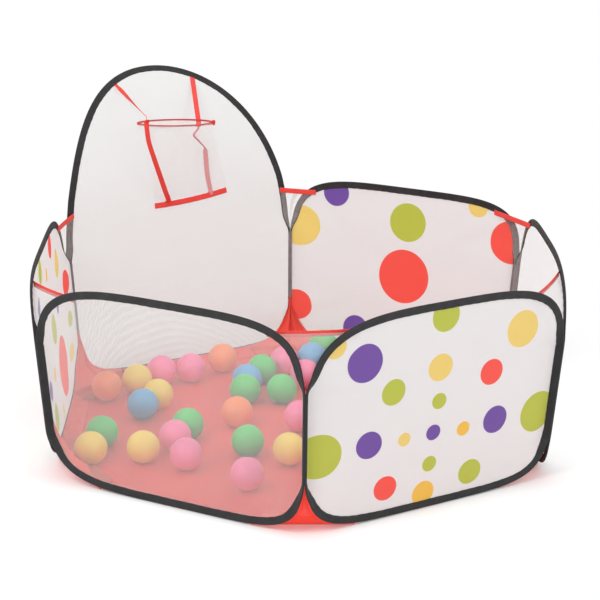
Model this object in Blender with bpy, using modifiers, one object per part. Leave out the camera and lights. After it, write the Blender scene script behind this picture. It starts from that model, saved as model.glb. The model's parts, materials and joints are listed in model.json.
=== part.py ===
"""Six-sided pop-up ball pit with a hoop wall, and the balls that lie in it.

Every wall is a loop of spring wire in a black binding tape, with cloth stretched inside it. The loops are made
flat, leaned outwards and joined at six corners, each by a net gore above and a red gusset below. One wall is
taller than the others and bends backwards, and carries a small hoop with a net pocket.
Metres, +Z up. The origin is the middle of the floor sheet's underside, and the front corner points along -Y.
Walls and corners are counted from the front corner, towards +X. Wall 0 runs from corner 0 to corner 1.
"""

import math

import bmesh
import bpy
from mathutils import Matrix, Vector

# Ring of walls
WALL_COUNT = 6
WALL_WIDTH = 0.500
RIM_HEIGHT = 0.372
CORNER_LEAN = 0.034
LOOP_EXPONENT = 4.1
LOOP_POINTS = 36

# Tall wall
TALL_WALL = 3
TALL_LENGTH = 0.642
TALL_WIDEST_SHARE = 0.316
TALL_TOP_EXPONENT = 2.05
TALL_FOOT_EXPONENT = 6.0
BEND_START = 0.330
BEND_RADIUS = 0.414

# Wire, binding tape and cloth
WIRE_DIAMETER = 0.002
WIRE_GAP = 0.00035
TAPE_WIDTH = 0.014
TAPE_THICKNESS = 0.0005
TAPE_EDGE_THICKNESS = 0.0026
CLOTH_THICKNESS = 0.001
FREE_GAP = 0.0003
SEAM_HALF_GAP = 0.0018

# Floor sheet
FLOOR_THICKNESS = 0.001
FLOOR_MARGIN = 0.003
CORNER_CUT = 0.100

# Corner gores, their trims and the gussets
GORE_THICKNESS = 0.0008
GORE_INSET = 0.008
GORE_ROWS = 5
TRIM_WIDTH = 0.009
TRIM_THICKNESS = 0.0018
TRIM_DROP = 0.026
SEAM_TOP = 0.255
SEAM_FOOT = 0.115
GUSSET_SIDE_FOOT = 0.020
GUSSET_ROWS = 5
GUSSET_FOLD = 0.009

# Hoop and its pocket
HOOP_RADIUS = 0.074
HOOP_TUBE_DIAMETER = 0.0045
HOOP_TILT = math.radians(14.5)
HOOP_SIDE_TILT = math.radians(7)
HOOP_ALONG = 0.023
HOOP_BACK_HEIGHT = 0.4945
HOOP_BACK_GAP = 0.0055
HOOP_POINTS = 24
POCKET_THICKNESS = 0.0008
POCKET_ROWS = 6
POCKET_WALL_GAP = 0.004
POCKET_FOOT_DEPTH = 0.004

# Webbing: two straps from the loop's top to the ring and on to a hem tape on the wall
WEB_WIDTH = 0.010
WEB_THICKNESS = 0.0008
WEB_POCKET_GAP = 0.0012
WEB_STEPS = 5
HANGER_SPREAD = 0.088
HANGER_INSET = 0.008
LEFT_RING_TURN = math.radians(15)
RIGHT_RING_TURN = math.radians(205)
LEFT_WEB_FOOT = 0.029
RIGHT_WEB_FOOT = -0.072
HEM_LEFT = 0.057
HEM_RIGHT = -0.110
HEM_LEFT_HEIGHT = 0.341
HEM_RIGHT_HEIGHT = 0.355
HEM_WIDTH = 0.011
HEM_THICKNESS = 0.0016
WEB_STAGE_SHARES = (0.15, 0.32, 0.50, 0.68, 0.84, 0.97)

# Balls: colour, then place from the middle of the floor in wall widths
BALL_DIAMETER = 0.060
BALL_GAP = 0.0006
BALL_WALL_GAP = 0.013
BALL_AROUND = 12
BALL_RINGS = 7
SETTLE_ROUNDS = 60
BALL_PLACE_SHARES = (
    ("orange", -0.734, 0.296),
    ("yellow", -0.620, 0.378),
    ("yellow", -0.530, 0.202),
    ("blue", -0.582, 0.090),
    ("pink", -0.528, 0.486),
    ("pink", -0.410, 0.512),
    ("orange", -0.284, 0.636),
    ("green", -0.124, 0.498),
    ("blue", -0.184, 0.378),
    ("green", -0.192, 0.256),
    ("green", -0.048, 0.258),
    ("orange", -0.222, 0.002),
    ("green", -0.404, -0.124),
    ("pink", -0.446, -0.246),
    ("pink", -0.400, -0.424),
    ("yellow", -0.556, -0.354),
    ("green", -0.714, -0.204),
    ("yellow", -0.742, -0.362),
    ("green", -0.182, -0.298),
    ("pink", -0.184, -0.610),
    ("yellow", -0.034, -0.378),
    ("pink", 0.014, -0.042),
    ("pink", -0.030, 0.606),
    ("pink", 0.048, 0.436),
    ("blue", 0.084, 0.652),
    ("green", 0.136, 0.820),
)

# Names, from the front corner towards +X, and what each wall turns about and hangs on
WALL_NAMES = ("front_right", "right", "back_right", "hoop", "left", "front_left")
WALL_CLOTHS = ("dotted", "mesh", "dotted", "mesh", "dotted", "mesh")
CORNER_NAMES = ("front", "right_front", "right_back", "back", "left_back", "left_front")
WALL_HINGES = (("front_right", 0, None), ("front_left", 0, "front_right"), ("right", 1, "front_right"),
               ("back_right", 2, "right"), ("left", 5, "front_left"), ("hoop", 4, "left"))

# Finishes: red, green and blue, then roughness and metallic value
FINISHES = {
    "spring_steel": (0.35, 0.35, 0.36, 0.35, 1.0),
    "black_tape": (0.022, 0.022, 0.023, 0.85, 0.0),
    "mesh": (0.78, 0.78, 0.77, 0.80, 0.0),
    "dotted": (0.80, 0.76, 0.78, 0.70, 0.0),
    "red_cloth": (0.86, 0.055, 0.04, 0.65, 0.0),
    "hoop_red": (0.60, 0.04, 0.03, 0.55, 0.0),
    "ball_orange": (0.93, 0.28, 0.12, 0.40, 0.0),
    "ball_yellow": (0.85, 0.60, 0.10, 0.40, 0.0),
    "ball_blue": (0.16, 0.50, 0.68, 0.40, 0.0),
    "ball_pink": (0.95, 0.20, 0.35, 0.40, 0.0),
    "ball_green": (0.16, 0.55, 0.20, 0.40, 0.0),
}

WALL_TURN = 2 * math.pi / WALL_COUNT
FOOT_DISTANCE = WALL_WIDTH / 2 / math.tan(WALL_TURN / 2)
CORNER_DISTANCE = WALL_WIDTH / 2 / math.sin(WALL_TURN / 2)
LEAN_ANGLE = math.atan2(CORNER_LEAN * math.cos(WALL_TURN / 2), RIM_HEIGHT)
FLARE = CORNER_LEAN * math.sin(WALL_TURN / 2) / RIM_HEIGHT
SHORT_LENGTH = RIM_HEIGHT / math.cos(LEAN_ANGLE)
LOOP_FOOT = FLOOR_THICKNESS + FREE_GAP
TAPE_HALF = WIRE_DIAMETER / 2 + WIRE_GAP + TAPE_THICKNESS
SLOT_HALF = CLOTH_THICKNESS / 2 + FREE_GAP
WIRE_INSET = TAPE_THICKNESS + WIRE_GAP + WIRE_DIAMETER / 2
SLOT_INSET = WIRE_INSET + WIRE_DIAMETER + TAPE_THICKNESS
CLOTH_INSET = SLOT_INSET + TAPE_THICKNESS
RING_STAND_OFF = HOOP_TUBE_DIAMETER / 2 + FREE_GAP


# Collections, materials and objects


def new_collection(name):
    collection = bpy.data.collections.new(name)
    bpy.context.scene.collection.children.link(collection)
    return collection


def make_finish(name, values):
    made = bpy.data.materials.new(name)
    made.use_nodes = True
    shader = made.node_tree.nodes["Principled BSDF"]
    red, green, blue, roughness, metallic = values
    shader.inputs["Base Color"].default_value = (red, green, blue, 1)
    shader.inputs["Roughness"].default_value = roughness
    shader.inputs["Metallic"].default_value = metallic
    return made


def add_object(name, data, parts, matrix, finish=None):
    made = bpy.data.objects.new(name, data)
    made.matrix_world = matrix
    if finish and not data.materials:
        data.materials.append(finish)
    parts.objects.link(made)
    return made


def hang_on(child, pivot):
    bpy.context.view_layer.update()
    child.parent = pivot
    child.matrix_parent_inverse = pivot.matrix_world.inverted()


def mesh_of(thing):
    """The evaluated mesh of an object as new data; the object is removed."""
    bpy.context.view_layer.update()
    graph = bpy.context.evaluated_depsgraph_get()
    made = bpy.data.meshes.new_from_object(thing.evaluated_get(graph))
    bpy.data.objects.remove(thing, do_unlink=True)
    return made


def tidy(shape, name):
    """A bmesh made into a mesh whose faces point out."""
    bmesh.ops.recalc_face_normals(shape, faces=shape.faces)
    made = bpy.data.meshes.new(name)
    shape.to_mesh(made)
    shape.free()
    return made


def thickened(shape, thickness, parts):
    """An open sheet's mesh with its thickness, half to each side."""
    sheet = add_object("sheet", tidy(shape, "sheet"), parts, Matrix.Identity(4))
    wall = sheet.modifiers.new("thickness", "SOLIDIFY")
    wall.thickness = thickness
    wall.offset = 0
    return mesh_of(sheet)


def union_of(meshes, parts):
    first, *others = [add_object("piece", mesh, parts, Matrix.Identity(4)) for mesh in meshes]
    for other in others:
        join = first.modifiers.new("join", "BOOLEAN")
        join.operation = "UNION"
        join.object = other
    made = mesh_of(first)
    for other in others:
        bpy.data.objects.remove(other, do_unlink=True)
    return made


def skin(shape, sections, closed_sections=True):
    """Quads between neighbouring rows of corners, which are rings or open rows."""
    rows = [[shape.verts.new(point) for point in section] for section in sections]
    for first, second in zip(rows, rows[1:]):
        count = len(first)
        for index in range(count if closed_sections else count - 1):
            after = (index + 1) % count
            shape.faces.new((first[index], first[after], second[after], second[index]))
    return rows


def flat_loop(name, points, parts):
    """A closed 2D curve through points in its own plane."""
    curve = bpy.data.curves.new(name, "CURVE")
    curve.dimensions = "2D"
    curve.fill_mode = "NONE"
    spline = curve.splines.new("POLY")
    spline.points.add(len(points) - 1)
    for place, point in zip(spline.points, points):
        place.co = (point.x, point.y, 0, 1)
    spline.use_cyclic_u = True
    return add_object(name, curve, parts, Matrix.Identity(4))


# A wall's surface and outline. A wall's own frame has +X towards its first corner, +Y outwards and +Z up


def wall_matrix(wall):
    turn = (wall - 1) * WALL_TURN
    middle = Vector((math.cos(turn), math.sin(turn), 0)) * FOOT_DISTANCE
    return Matrix.Translation(middle) @ Matrix.Rotation(turn - math.pi / 2, 4, "Z")


def wall_surface(length, tall):
    """Outward run, height and slope of a wall, at a length up its cloth."""
    if not tall or length <= BEND_START:
        return length * math.sin(LEAN_ANGLE), length * math.cos(LEAN_ANGLE), LEAN_ANGLE
    slope = LEAN_ANGLE + (length - BEND_START) / BEND_RADIUS
    run = BEND_START * math.sin(LEAN_ANGLE) + BEND_RADIUS * (math.cos(LEAN_ANGLE) - math.cos(slope))
    height = BEND_START * math.cos(LEAN_ANGLE) + BEND_RADIUS * (math.sin(slope) - math.sin(LEAN_ANGLE))
    return run, height, slope


def tall_run_at(height):
    """Outward run of the tall wall's surface at a height."""
    bend_height = BEND_START * math.cos(LEAN_ANGLE)
    if height <= bend_height:
        return height * math.tan(LEAN_ANGLE)
    slope = math.asin((height - bend_height) / BEND_RADIUS + math.sin(LEAN_ANGLE))
    return BEND_START * math.sin(LEAN_ANGLE) + BEND_RADIUS * (math.cos(LEAN_ANGLE) - math.cos(slope))


def on_wall(along, length, inward, tall):
    """A point in the wall's frame, from its place on the flat cloth and its distance off the inner side."""
    run, height, slope = wall_surface(length, tall)
    return Vector((along, run - inward * math.cos(slope), height + inward * math.sin(slope)))


def signed_power(value, power):
    return math.copysign(abs(value) ** power, value)


def half_width(length):
    return WALL_WIDTH / 2 - SEAM_HALF_GAP + FLARE * min(length, RIM_HEIGHT)


def loop_point(turn, tall):
    """The loop's outer edge on the flat cloth: a rounded rectangle, with an arched top on the tall wall."""
    upper = math.sin(turn) > 0
    reach = (TALL_LENGTH if tall else SHORT_LENGTH) - LOOP_FOOT
    widest_share = TALL_WIDEST_SHARE if tall else 1 / 2
    exponent = (TALL_TOP_EXPONENT if upper else TALL_FOOT_EXPONENT) if tall else LOOP_EXPONENT
    rise = signed_power(math.sin(turn), 2 / exponent)
    length = LOOP_FOOT + reach * (widest_share + rise * (1 - widest_share if upper else widest_share))
    return Vector((signed_power(math.cos(turn), 2 / exponent) * half_width(length), length))


def loop_outline(inset, tall):
    """Points round a loop, moved inwards from its outer edge."""
    turns = [(step + 1 / 2) * 2 * math.pi / LOOP_POINTS for step in range(LOOP_POINTS)]
    edge = [loop_point(turn, tall) for turn in turns]
    points = []
    for index, point in enumerate(edge):
        ahead = edge[(index + 1) % LOOP_POINTS] - edge[index - 1]
        points.append(point + Vector((-ahead.y, ahead.x)).normalized() * inset)
    return points


def side_points(inset, tall):
    """The half of a loop's outline on its +X side, from the foot up."""
    return sorted((point for point in loop_outline(inset, tall) if point.x > 0), key=lambda point: point.y)


def side_at(length, inset, tall):
    """How far along the wall the loop's side lies at a length up the cloth."""
    side = side_points(inset, tall)
    for low, high in zip(side, side[1:]):
        if low.y <= length <= high.y:
            return low.lerp(high, (length - low.y) / (high.y - low.y)).x
    return side[0].x if length < side[0].y else side[-1].x


def top_at(along, inset):
    """The length up the tall wall's cloth at which its loop's top crosses a place along the wall."""
    side = [point for point in side_points(inset, True) if point.y > TALL_LENGTH / 2]
    for low, high in zip(side, side[1:]):
        if high.x <= abs(along) <= low.x:
            return low.lerp(high, (low.x - abs(along)) / (low.x - high.x)).y
    return side[-1].y


def lean_mesh(mesh, tall):
    """Takes a mesh made flat, with X along, Y up the cloth and Z inwards, to the wall's surface."""
    shape = bmesh.new()
    shape.from_mesh(mesh)
    bpy.data.meshes.remove(mesh)
    for vertex in shape.verts:
        vertex.co = on_wall(vertex.co.x, vertex.co.y, vertex.co.z, tall)
    return tidy(shape, "leaned")


# Walls


def binding_profile(parts):
    """A folded tape in section, from its fold inwards, with the wire's channel and the cloth's slot."""
    channel = WIRE_DIAMETER / 2 + WIRE_GAP
    half = [
        Vector((0, TAPE_HALF)),
        Vector((TAPE_WIDTH, TAPE_EDGE_THICKNESS / 2)),
        Vector((TAPE_WIDTH, SLOT_HALF)),
        Vector((SLOT_INSET, SLOT_HALF)),
        Vector((WIRE_INSET + channel, channel)),
        Vector((TAPE_THICKNESS, channel)),
    ]
    return flat_loop("binding_profile", half + [Vector((point.x, -point.y)) for point in reversed(half)], parts)


def binding_mesh(tall, profile, parts):
    path = flat_loop("binding", loop_outline(0, tall), parts)
    path.data.bevel_mode = "OBJECT"
    path.data.bevel_object = profile
    return lean_mesh(mesh_of(path), tall)


def wire_mesh(tall, parts):
    path = flat_loop("wire", loop_outline(WIRE_INSET, tall), parts)
    path.data.bevel_depth = WIRE_DIAMETER / 2
    path.data.bevel_resolution = 1
    return lean_mesh(mesh_of(path), tall)


def cloth_mesh(tall, parts):
    """Rows across the loop, from its foot to its top."""
    sheet = bmesh.new()
    side = side_points(CLOTH_INSET, tall)
    rows = [[on_wall(sign * point.x, point.y, 0, tall) for sign in (-1, 1)] for point in side]
    skin(sheet, rows, closed_sections=False)
    return thickened(sheet, CLOTH_THICKNESS, parts)


def add_walls(parts, guides, finishes):
    profile = binding_profile(guides)
    wires = {tall: wire_mesh(tall, guides) for tall in (False, True)}
    bindings = {tall: binding_mesh(tall, profile, guides) for tall in (False, True)}
    bpy.data.objects.remove(profile, do_unlink=True)
    walls = {}
    for wall, (name, cloth) in enumerate(zip(WALL_NAMES, WALL_CLOTHS)):
        tall = wall == TALL_WALL
        place = wall_matrix(wall)
        walls[name] = [
            add_object(f"wire_{name}", wires[tall], parts, place, finishes["spring_steel"]),
            add_object(f"binding_{name}", bindings[tall], parts, place, finishes["black_tape"]),
            add_object(f"cloth_{name}", cloth_mesh(tall, guides), parts, place, finishes[cloth]),
        ]
    return walls


def add_hinges(parts, walls):
    """Empties on the upright lines that the walls turn about, each on the one that carries it."""
    pivots = {}
    middle = (SEAM_TOP + SEAM_FOOT) / 2
    reach = CORNER_DISTANCE + CORNER_LEAN * middle / RIM_HEIGHT
    for name, corner, carrier in WALL_HINGES:
        turn = corner * WALL_TURN - math.pi / 2
        place = Vector((math.cos(turn) * reach, math.sin(turn) * reach, middle))
        pivots[name] = add_object(f"hinge_{name}", None, parts, Matrix.Translation(place))
        if carrier:
            hang_on(pivots[name], pivots[carrier])
        for piece in walls[name]:
            hang_on(piece, pivots[name])
    return pivots


# Corners. Each is made between the last wall and wall 0, then turned into its place


def beside_corner(wall, along, length, tall, lift):
    """A point off the inner side of the last wall, or of wall 0, measured towards corner 0."""
    sign = 1 if wall == 0 else -1
    return wall_matrix(wall) @ on_wall(sign * along, length, lift, tall)


def across_corner(length, talls, thickness):
    """The two points where a sheet across corner 0 meets the loops' inner faces, left one first."""
    lift = TAPE_HALF + FREE_GAP + thickness / 2
    walls = (WALL_COUNT - 1, 0)
    sides = [side_at(length, GORE_INSET, tall) for tall in talls]
    return [beside_corner(wall, side, length, tall, lift) for wall, side, tall in zip(walls, sides, talls)]


def steps_between(low, high, count):
    return [low + (high - low) * step / (count - 1) for step in range(count)]


def gore_mesh(talls, parts):
    """Net between two loops' rounded shoulders, with a straight trim along its top."""
    top = SHORT_LENGTH - TRIM_DROP
    net = bmesh.new()
    rows = [across_corner(length, talls, GORE_THICKNESS) for length in steps_between(SEAM_TOP, top, GORE_ROWS)]
    skin(net, rows, closed_sections=False)
    trim = bmesh.new()
    edges = steps_between(top - TRIM_WIDTH / 2, top + TRIM_WIDTH / 2, 2)
    skin(trim, [across_corner(length, talls, TRIM_THICKNESS) for length in edges], closed_sections=False)
    return union_of([thickened(net, GORE_THICKNESS, parts), thickened(trim, TRIM_THICKNESS, parts)], parts)


def gusset_mesh(talls, parts):
    """Cloth from the floor sheet's cut corner up between the loops' rounded feet, with one upright fold."""
    lift = TAPE_HALF + FREE_GAP + GORE_THICKNESS / 2
    foot = WALL_WIDTH / 2 - CORNER_CUT
    walls = (WALL_COUNT - 1, 0)
    rows = [[beside_corner(wall, foot, LOOP_FOOT + GORE_THICKNESS / 2, False, lift) for wall in walls]]
    for length in steps_between(GUSSET_SIDE_FOOT, SEAM_FOOT, GUSSET_ROWS):
        rows.append(across_corner(length, talls, GORE_THICKNESS))
    folded = []
    for row, (left, right) in enumerate(rows):
        depth = GUSSET_FOLD * (1 - row / GUSSET_ROWS)
        fold = (left + right) / 2 + Vector((0, depth, 0))
        folded.append([left, left.lerp(right, 1 / 4), fold, left.lerp(right, 3 / 4), right])
    sheet = bmesh.new()
    skin(sheet, folded, closed_sections=False)
    return thickened(sheet, GORE_THICKNESS, parts)


def add_corners(parts, guides, finishes):
    for corner, name in enumerate(CORNER_NAMES):
        talls = ((corner - 1) % WALL_COUNT == TALL_WALL, corner == TALL_WALL)
        place = Matrix.Rotation(corner * WALL_TURN, 4, "Z")
        add_object(f"gore_{name}", gore_mesh(talls, guides), parts, place, finishes["mesh"])
        add_object(f"gusset_{name}", gusset_mesh(talls, guides), parts, place, finishes["red_cloth"])


def add_floor(parts, finish):
    """The sheet under the loops, with each corner cut across just outside its gusset's foot."""
    half = WALL_WIDTH / 2 - CORNER_CUT + FLOOR_MARGIN
    ends = [Vector((sign * half, TAPE_HALF + FLOOR_MARGIN, 0)) for sign in (1, -1)]
    outline = [wall_matrix(wall) @ end for wall in range(WALL_COUNT) for end in ends]
    sheet = bmesh.new()
    under = sheet.faces.new([sheet.verts.new(point) for point in outline])
    raised = bmesh.ops.extrude_face_region(sheet, geom=[under])
    top = [item for item in raised["geom"] if isinstance(item, bmesh.types.BMVert)]
    bmesh.ops.translate(sheet, verts=top, vec=(0, 0, FLOOR_THICKNESS))
    add_object("floor_sheet", tidy(sheet, "floor_sheet"), parts, Matrix.Identity(4), finish)


# Hoop, in the tall wall's frame. Places along it are positive towards the wall's second corner


def hoop_matrix():
    """The ring's own frame: +X along the wall, +Y to its lifted front, +Z through it."""
    back = Vector((-HOOP_ALONG, tall_run_at(HOOP_BACK_HEIGHT) - HOOP_BACK_GAP, HOOP_BACK_HEIGHT))
    turn = Matrix.Rotation(math.pi, 4, "Z") @ Matrix.Rotation(HOOP_TILT, 4, "X")
    turn = turn @ Matrix.Rotation(-HOOP_SIDE_TILT, 4, "Y")
    return Matrix.Translation(back) @ turn @ Matrix.Translation((0, HOOP_RADIUS, 0))


def by_ring(turn, radius, rise):
    return hoop_matrix() @ Vector((math.cos(turn) * radius, math.sin(turn) * radius, rise))


def add_hoop_ring(parts, finish):
    turns = [step * 2 * math.pi / HOOP_POINTS for step in range(HOOP_POINTS)]
    points = [Vector((math.cos(turn), math.sin(turn))) * HOOP_RADIUS for turn in turns]
    ring = flat_loop("hoop_ring", points, parts)
    ring.data.bevel_depth = HOOP_TUBE_DIAMETER / 2
    ring.data.bevel_resolution = 2
    ring.data.materials.append(finish)
    ring.matrix_world = wall_matrix(TALL_WALL) @ hoop_matrix()
    back = ring.matrix_world @ Vector((0, -HOOP_RADIUS, 0))
    pivot = add_object("hinge_hoop_ring", None, parts, Matrix.Translation(back))
    hang_on(ring, pivot)
    return pivot


def hem_length(along):
    share = (along - HEM_LEFT) / (HEM_RIGHT - HEM_LEFT)
    return HEM_LEFT_HEIGHT + (HEM_RIGHT_HEIGHT - HEM_LEFT_HEIGHT) * share


def pocket_point(turn, share):
    """The pocket's middle surface, from a circle under the ring to a flat slot above the hem tape."""
    ring = by_ring(turn, HOOP_RADIUS, -RING_STAND_OFF)
    along = (HEM_LEFT + HEM_RIGHT) / 2 + (HEM_LEFT - HEM_RIGHT) / 2 * math.cos(turn)
    length = hem_length(along) + HEM_WIDTH / 2 + FREE_GAP + POCKET_THICKNESS
    off = CLOTH_THICKNESS / 2 + POCKET_WALL_GAP + POCKET_FOOT_DEPTH / 2 * (1 + math.sin(turn))
    point = ring.lerp(on_wall(-along, length, off, True), share)
    point.y = min(point.y, tall_run_at(point.z) - POCKET_WALL_GAP - CLOTH_THICKNESS / 2)
    return point


def pocket_normal(turn, share):
    """The pocket's outward direction at a point of its surface."""
    nudge_share = 1 / 100
    across = pocket_point(turn + nudge_share, share) - pocket_point(turn - nudge_share, share)
    down = pocket_point(turn, share + nudge_share) - pocket_point(turn, share - nudge_share)
    return down.cross(across).normalized()


def add_hoop_pocket(parts, guides, finish):
    turns = [step * 2 * math.pi / HOOP_POINTS for step in range(HOOP_POINTS)]
    shares = [row / (POCKET_ROWS - 1) for row in range(POCKET_ROWS)]
    sheet = bmesh.new()
    rows = skin(sheet, [[pocket_point(turn, share) for turn in turns] for share in shares])
    sheet.faces.new(rows[-1])
    mesh = thickened(sheet, POCKET_THICKNESS, guides)
    add_object("hoop_pocket", mesh, parts, wall_matrix(TALL_WALL), finish)


def ribbon(points, facings, width, thickness):
    """A flat strip along points, whose broad side faces as near each given direction as its route allows."""
    strip = bmesh.new()
    sections = []
    for index, (point, facing) in enumerate(zip(points, facings)):
        ahead = points[min(index + 1, len(points) - 1)] - points[max(index - 1, 0)]
        side = ahead.cross(facing).normalized() * width / 2
        up = side.cross(ahead).normalized() * thickness / 2
        sections.append([point + side + up, point - side + up, point - side - up, point + side - up])
    rows = [[strip.verts.new(corner) for corner in section] for section in sections]
    for near, far in zip(rows, rows[1:]):
        # both broad sides are split along the same diagonal, so they stay apart where the strip twists
        for start, other in ((0, 1), (3, 2)):
            strip.faces.new((near[start], near[other], far[other]))
            strip.faces.new((near[start], far[other], far[start]))
        for start, other in ((1, 2), (0, 3)):
            strip.faces.new((near[start], near[other], far[other], far[start]))
    strip.faces.new(rows[0])
    strip.faces.new(rows[-1])
    return tidy(strip, "ribbon")


def web_mesh(hanger, ring_turn, foot):
    """One strap: from the loop's top edge to the ring's outer side, then down the pocket to the hem tape."""
    sign = 1 if math.cos(ring_turn) > 0 else -1
    top = top_at(hanger, HANGER_INSET)
    lift = TAPE_HALF + FREE_GAP + WEB_THICKNESS / 2
    wall_facing = Vector((0, -math.cos(wall_surface(top, True)[2]), math.sin(wall_surface(top, True)[2])))
    points = [on_wall(-hanger, top, lift, True), on_wall(-hanger, top - TAPE_WIDTH, lift, True)]
    facings = [wall_facing, wall_facing]
    outer = HOOP_RADIUS + RING_STAND_OFF + WEB_THICKNESS / 2
    above, beside = by_ring(ring_turn, outer, WEB_WIDTH), by_ring(ring_turn, outer, 0)
    radial = (beside - by_ring(ring_turn, 0, 0)).normalized()
    start = points[-1]
    for step in range(1, WEB_STEPS):
        points.append(start.lerp(above, step / WEB_STEPS))
        facings.append(wall_facing.lerp(radial, step / WEB_STEPS))
    points += [above, beside]
    facings += [radial, radial]
    middle, half = (HEM_LEFT + HEM_RIGHT) / 2, (HEM_LEFT - HEM_RIGHT) / 2
    foot_turn = math.acos((foot - middle) / half)
    if sign < 0:
        foot_turn = 2 * math.pi - foot_turn
    stand_off = POCKET_THICKNESS / 2 + WEB_POCKET_GAP + WEB_THICKNESS / 2
    for share in WEB_STAGE_SHARES:
        turn = ring_turn + (foot_turn - ring_turn) * share
        facings.append(pocket_normal(turn, share))
        points.append(pocket_point(turn, share) + facings[-1] * stand_off)
    hem_top = hem_length(foot) + HEM_WIDTH / 2
    off = POCKET_WALL_GAP + POCKET_FOOT_DEPTH / 2 * (1 + math.sin(foot_turn)) + sign * stand_off
    points.append(on_wall(-foot, hem_top - FREE_GAP, CLOTH_THICKNESS / 2 + off, True))
    points.append(on_wall(-foot, hem_length(foot), hem_off(), True))
    facings += [facings[-1], facings[-1]]
    return ribbon(points, facings, WEB_WIDTH, WEB_THICKNESS)


def hem_off():
    """How far the hem tape's middle lies off the wall's middle surface."""
    return CLOTH_THICKNESS / 2 + FREE_GAP + HEM_THICKNESS / 2


def add_hoop_webbing(parts, guides, finish):
    ends = [on_wall(-along, hem_length(along), hem_off(), True) for along in (HEM_LEFT, HEM_RIGHT)]
    slope = wall_surface(HEM_LEFT_HEIGHT, True)[2]
    facing = Vector((0, -math.cos(slope), math.sin(slope)))
    hem = ribbon(ends, [facing, facing], HEM_WIDTH, HEM_THICKNESS)
    left = web_mesh(HANGER_SPREAD, LEFT_RING_TURN, LEFT_WEB_FOOT)
    right = web_mesh(-HANGER_SPREAD, RIGHT_RING_TURN, RIGHT_WEB_FOOT)
    mesh = union_of([hem, left, right], guides)
    add_object("hoop_webbing", mesh, parts, wall_matrix(TALL_WALL), finish)


# Balls


def settled_places():
    """The balls' places on the floor, pushed apart where two would meet and off the walls."""
    places = [Vector((across, away)) * WALL_WIDTH for colour, across, away in BALL_PLACE_SHARES]
    reach = BALL_DIAMETER + BALL_GAP
    limit = FOOT_DISTANCE - BALL_DIAMETER / 2 - BALL_WALL_GAP
    outwards = [Vector((math.cos(wall * WALL_TURN), math.sin(wall * WALL_TURN))) for wall in range(WALL_COUNT)]
    for _ in range(SETTLE_ROUNDS):
        for index, place in enumerate(places):
            for other in places[:index]:
                apart = place - other
                if apart.length < reach:
                    push = apart.normalized() * (reach - apart.length) / 2
                    place += push
                    other -= push
            for outward in outwards:
                place -= outward * max(place.dot(outward) - limit, 0)
    return places


def add_balls(parts, finishes):
    height = LOOP_FOOT + BALL_DIAMETER / 2
    shapes = {}
    for number, (share, place) in enumerate(zip(BALL_PLACE_SHARES, settled_places()), start=1):
        colour = share[0]
        if colour not in shapes:
            ball = bmesh.new()
            bmesh.ops.create_uvsphere(ball, u_segments=BALL_AROUND, v_segments=BALL_RINGS, radius=BALL_DIAMETER / 2)
            shapes[colour] = tidy(ball, f"ball_{colour}")
        matrix = Matrix.Translation((place.x, place.y, height))
        add_object(f"ball_{number:02d}", shapes[colour], parts, matrix, finishes[f"ball_{colour}"])


def main():
    for thing in list(bpy.data.objects):
        bpy.data.objects.remove(thing, do_unlink=True)
    parts = new_collection("ball_pit")
    guides = new_collection("ball_pit_guides")
    finishes = {name: make_finish(name, values) for name, values in FINISHES.items()}
    walls = add_walls(parts, guides, finishes)
    pivots = add_hinges(parts, walls)
    add_corners(parts, guides, finishes)
    add_floor(parts, finishes["red_cloth"])
    ring_pivot = add_hoop_ring(parts, finishes["hoop_red"])
    hang_on(ring_pivot, pivots["hoop"])
    add_hoop_pocket(parts, guides, finishes["mesh"])
    add_hoop_webbing(parts, guides, finishes["red_cloth"])
    add_balls(parts, finishes)


main()
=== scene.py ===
# %% [markdown]
# # A pop-up ball pit
# The real thing is six loops of spring wire in black binding tape. Each loop holds a cloth: a white net, or white
# polyester with printed dots. They are sewn side to side round a red floor sheet, and balls lie inside. This file
# dresses a finished CAD model of it, piece by piece, with real cloth shapes, stitches and materials.

# %% Open the CAD model
import json
import math

import bmesh
import bpy
import numpy as np
from mathutils import Matrix, Vector


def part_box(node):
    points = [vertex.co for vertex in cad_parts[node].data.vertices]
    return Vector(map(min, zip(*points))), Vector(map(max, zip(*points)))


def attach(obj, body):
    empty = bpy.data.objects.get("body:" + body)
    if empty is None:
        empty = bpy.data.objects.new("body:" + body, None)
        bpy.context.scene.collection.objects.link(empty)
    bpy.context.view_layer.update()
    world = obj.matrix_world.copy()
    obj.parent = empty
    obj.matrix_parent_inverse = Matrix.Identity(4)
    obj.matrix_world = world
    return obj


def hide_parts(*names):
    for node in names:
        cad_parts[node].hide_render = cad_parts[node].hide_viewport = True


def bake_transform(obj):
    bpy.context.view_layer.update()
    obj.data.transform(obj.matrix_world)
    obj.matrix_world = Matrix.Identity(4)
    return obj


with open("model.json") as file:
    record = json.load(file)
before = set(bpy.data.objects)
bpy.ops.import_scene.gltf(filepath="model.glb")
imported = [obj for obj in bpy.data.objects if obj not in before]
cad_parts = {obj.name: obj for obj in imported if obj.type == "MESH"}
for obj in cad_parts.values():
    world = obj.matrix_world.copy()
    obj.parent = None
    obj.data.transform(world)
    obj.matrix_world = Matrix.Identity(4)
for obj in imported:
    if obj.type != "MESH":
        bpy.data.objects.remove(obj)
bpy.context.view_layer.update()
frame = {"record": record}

# %% [markdown]
# ## Camera
# A product picture like this one is taken from a few metres away with a long lens, so the walls hardly converge.
# The camera looks in over the front corner. A camera looks along its own -Z, so it starts by looking straight
# down, is tipped up to the view's pitch, and is then swung round the upright axis.

# %% Place the camera
PICTURE_WIDTH = 600
FOCAL_LENGTH_IN_PIXELS = 1787.8
CAMERA_PLACE = Vector((-0.0931, -3.1696, 1.2128))
CAMERA_PITCH = math.radians(16.851)
CAMERA_YAW = math.radians(1.79)
CAMERA_ROLL = math.radians(0.509)


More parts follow.
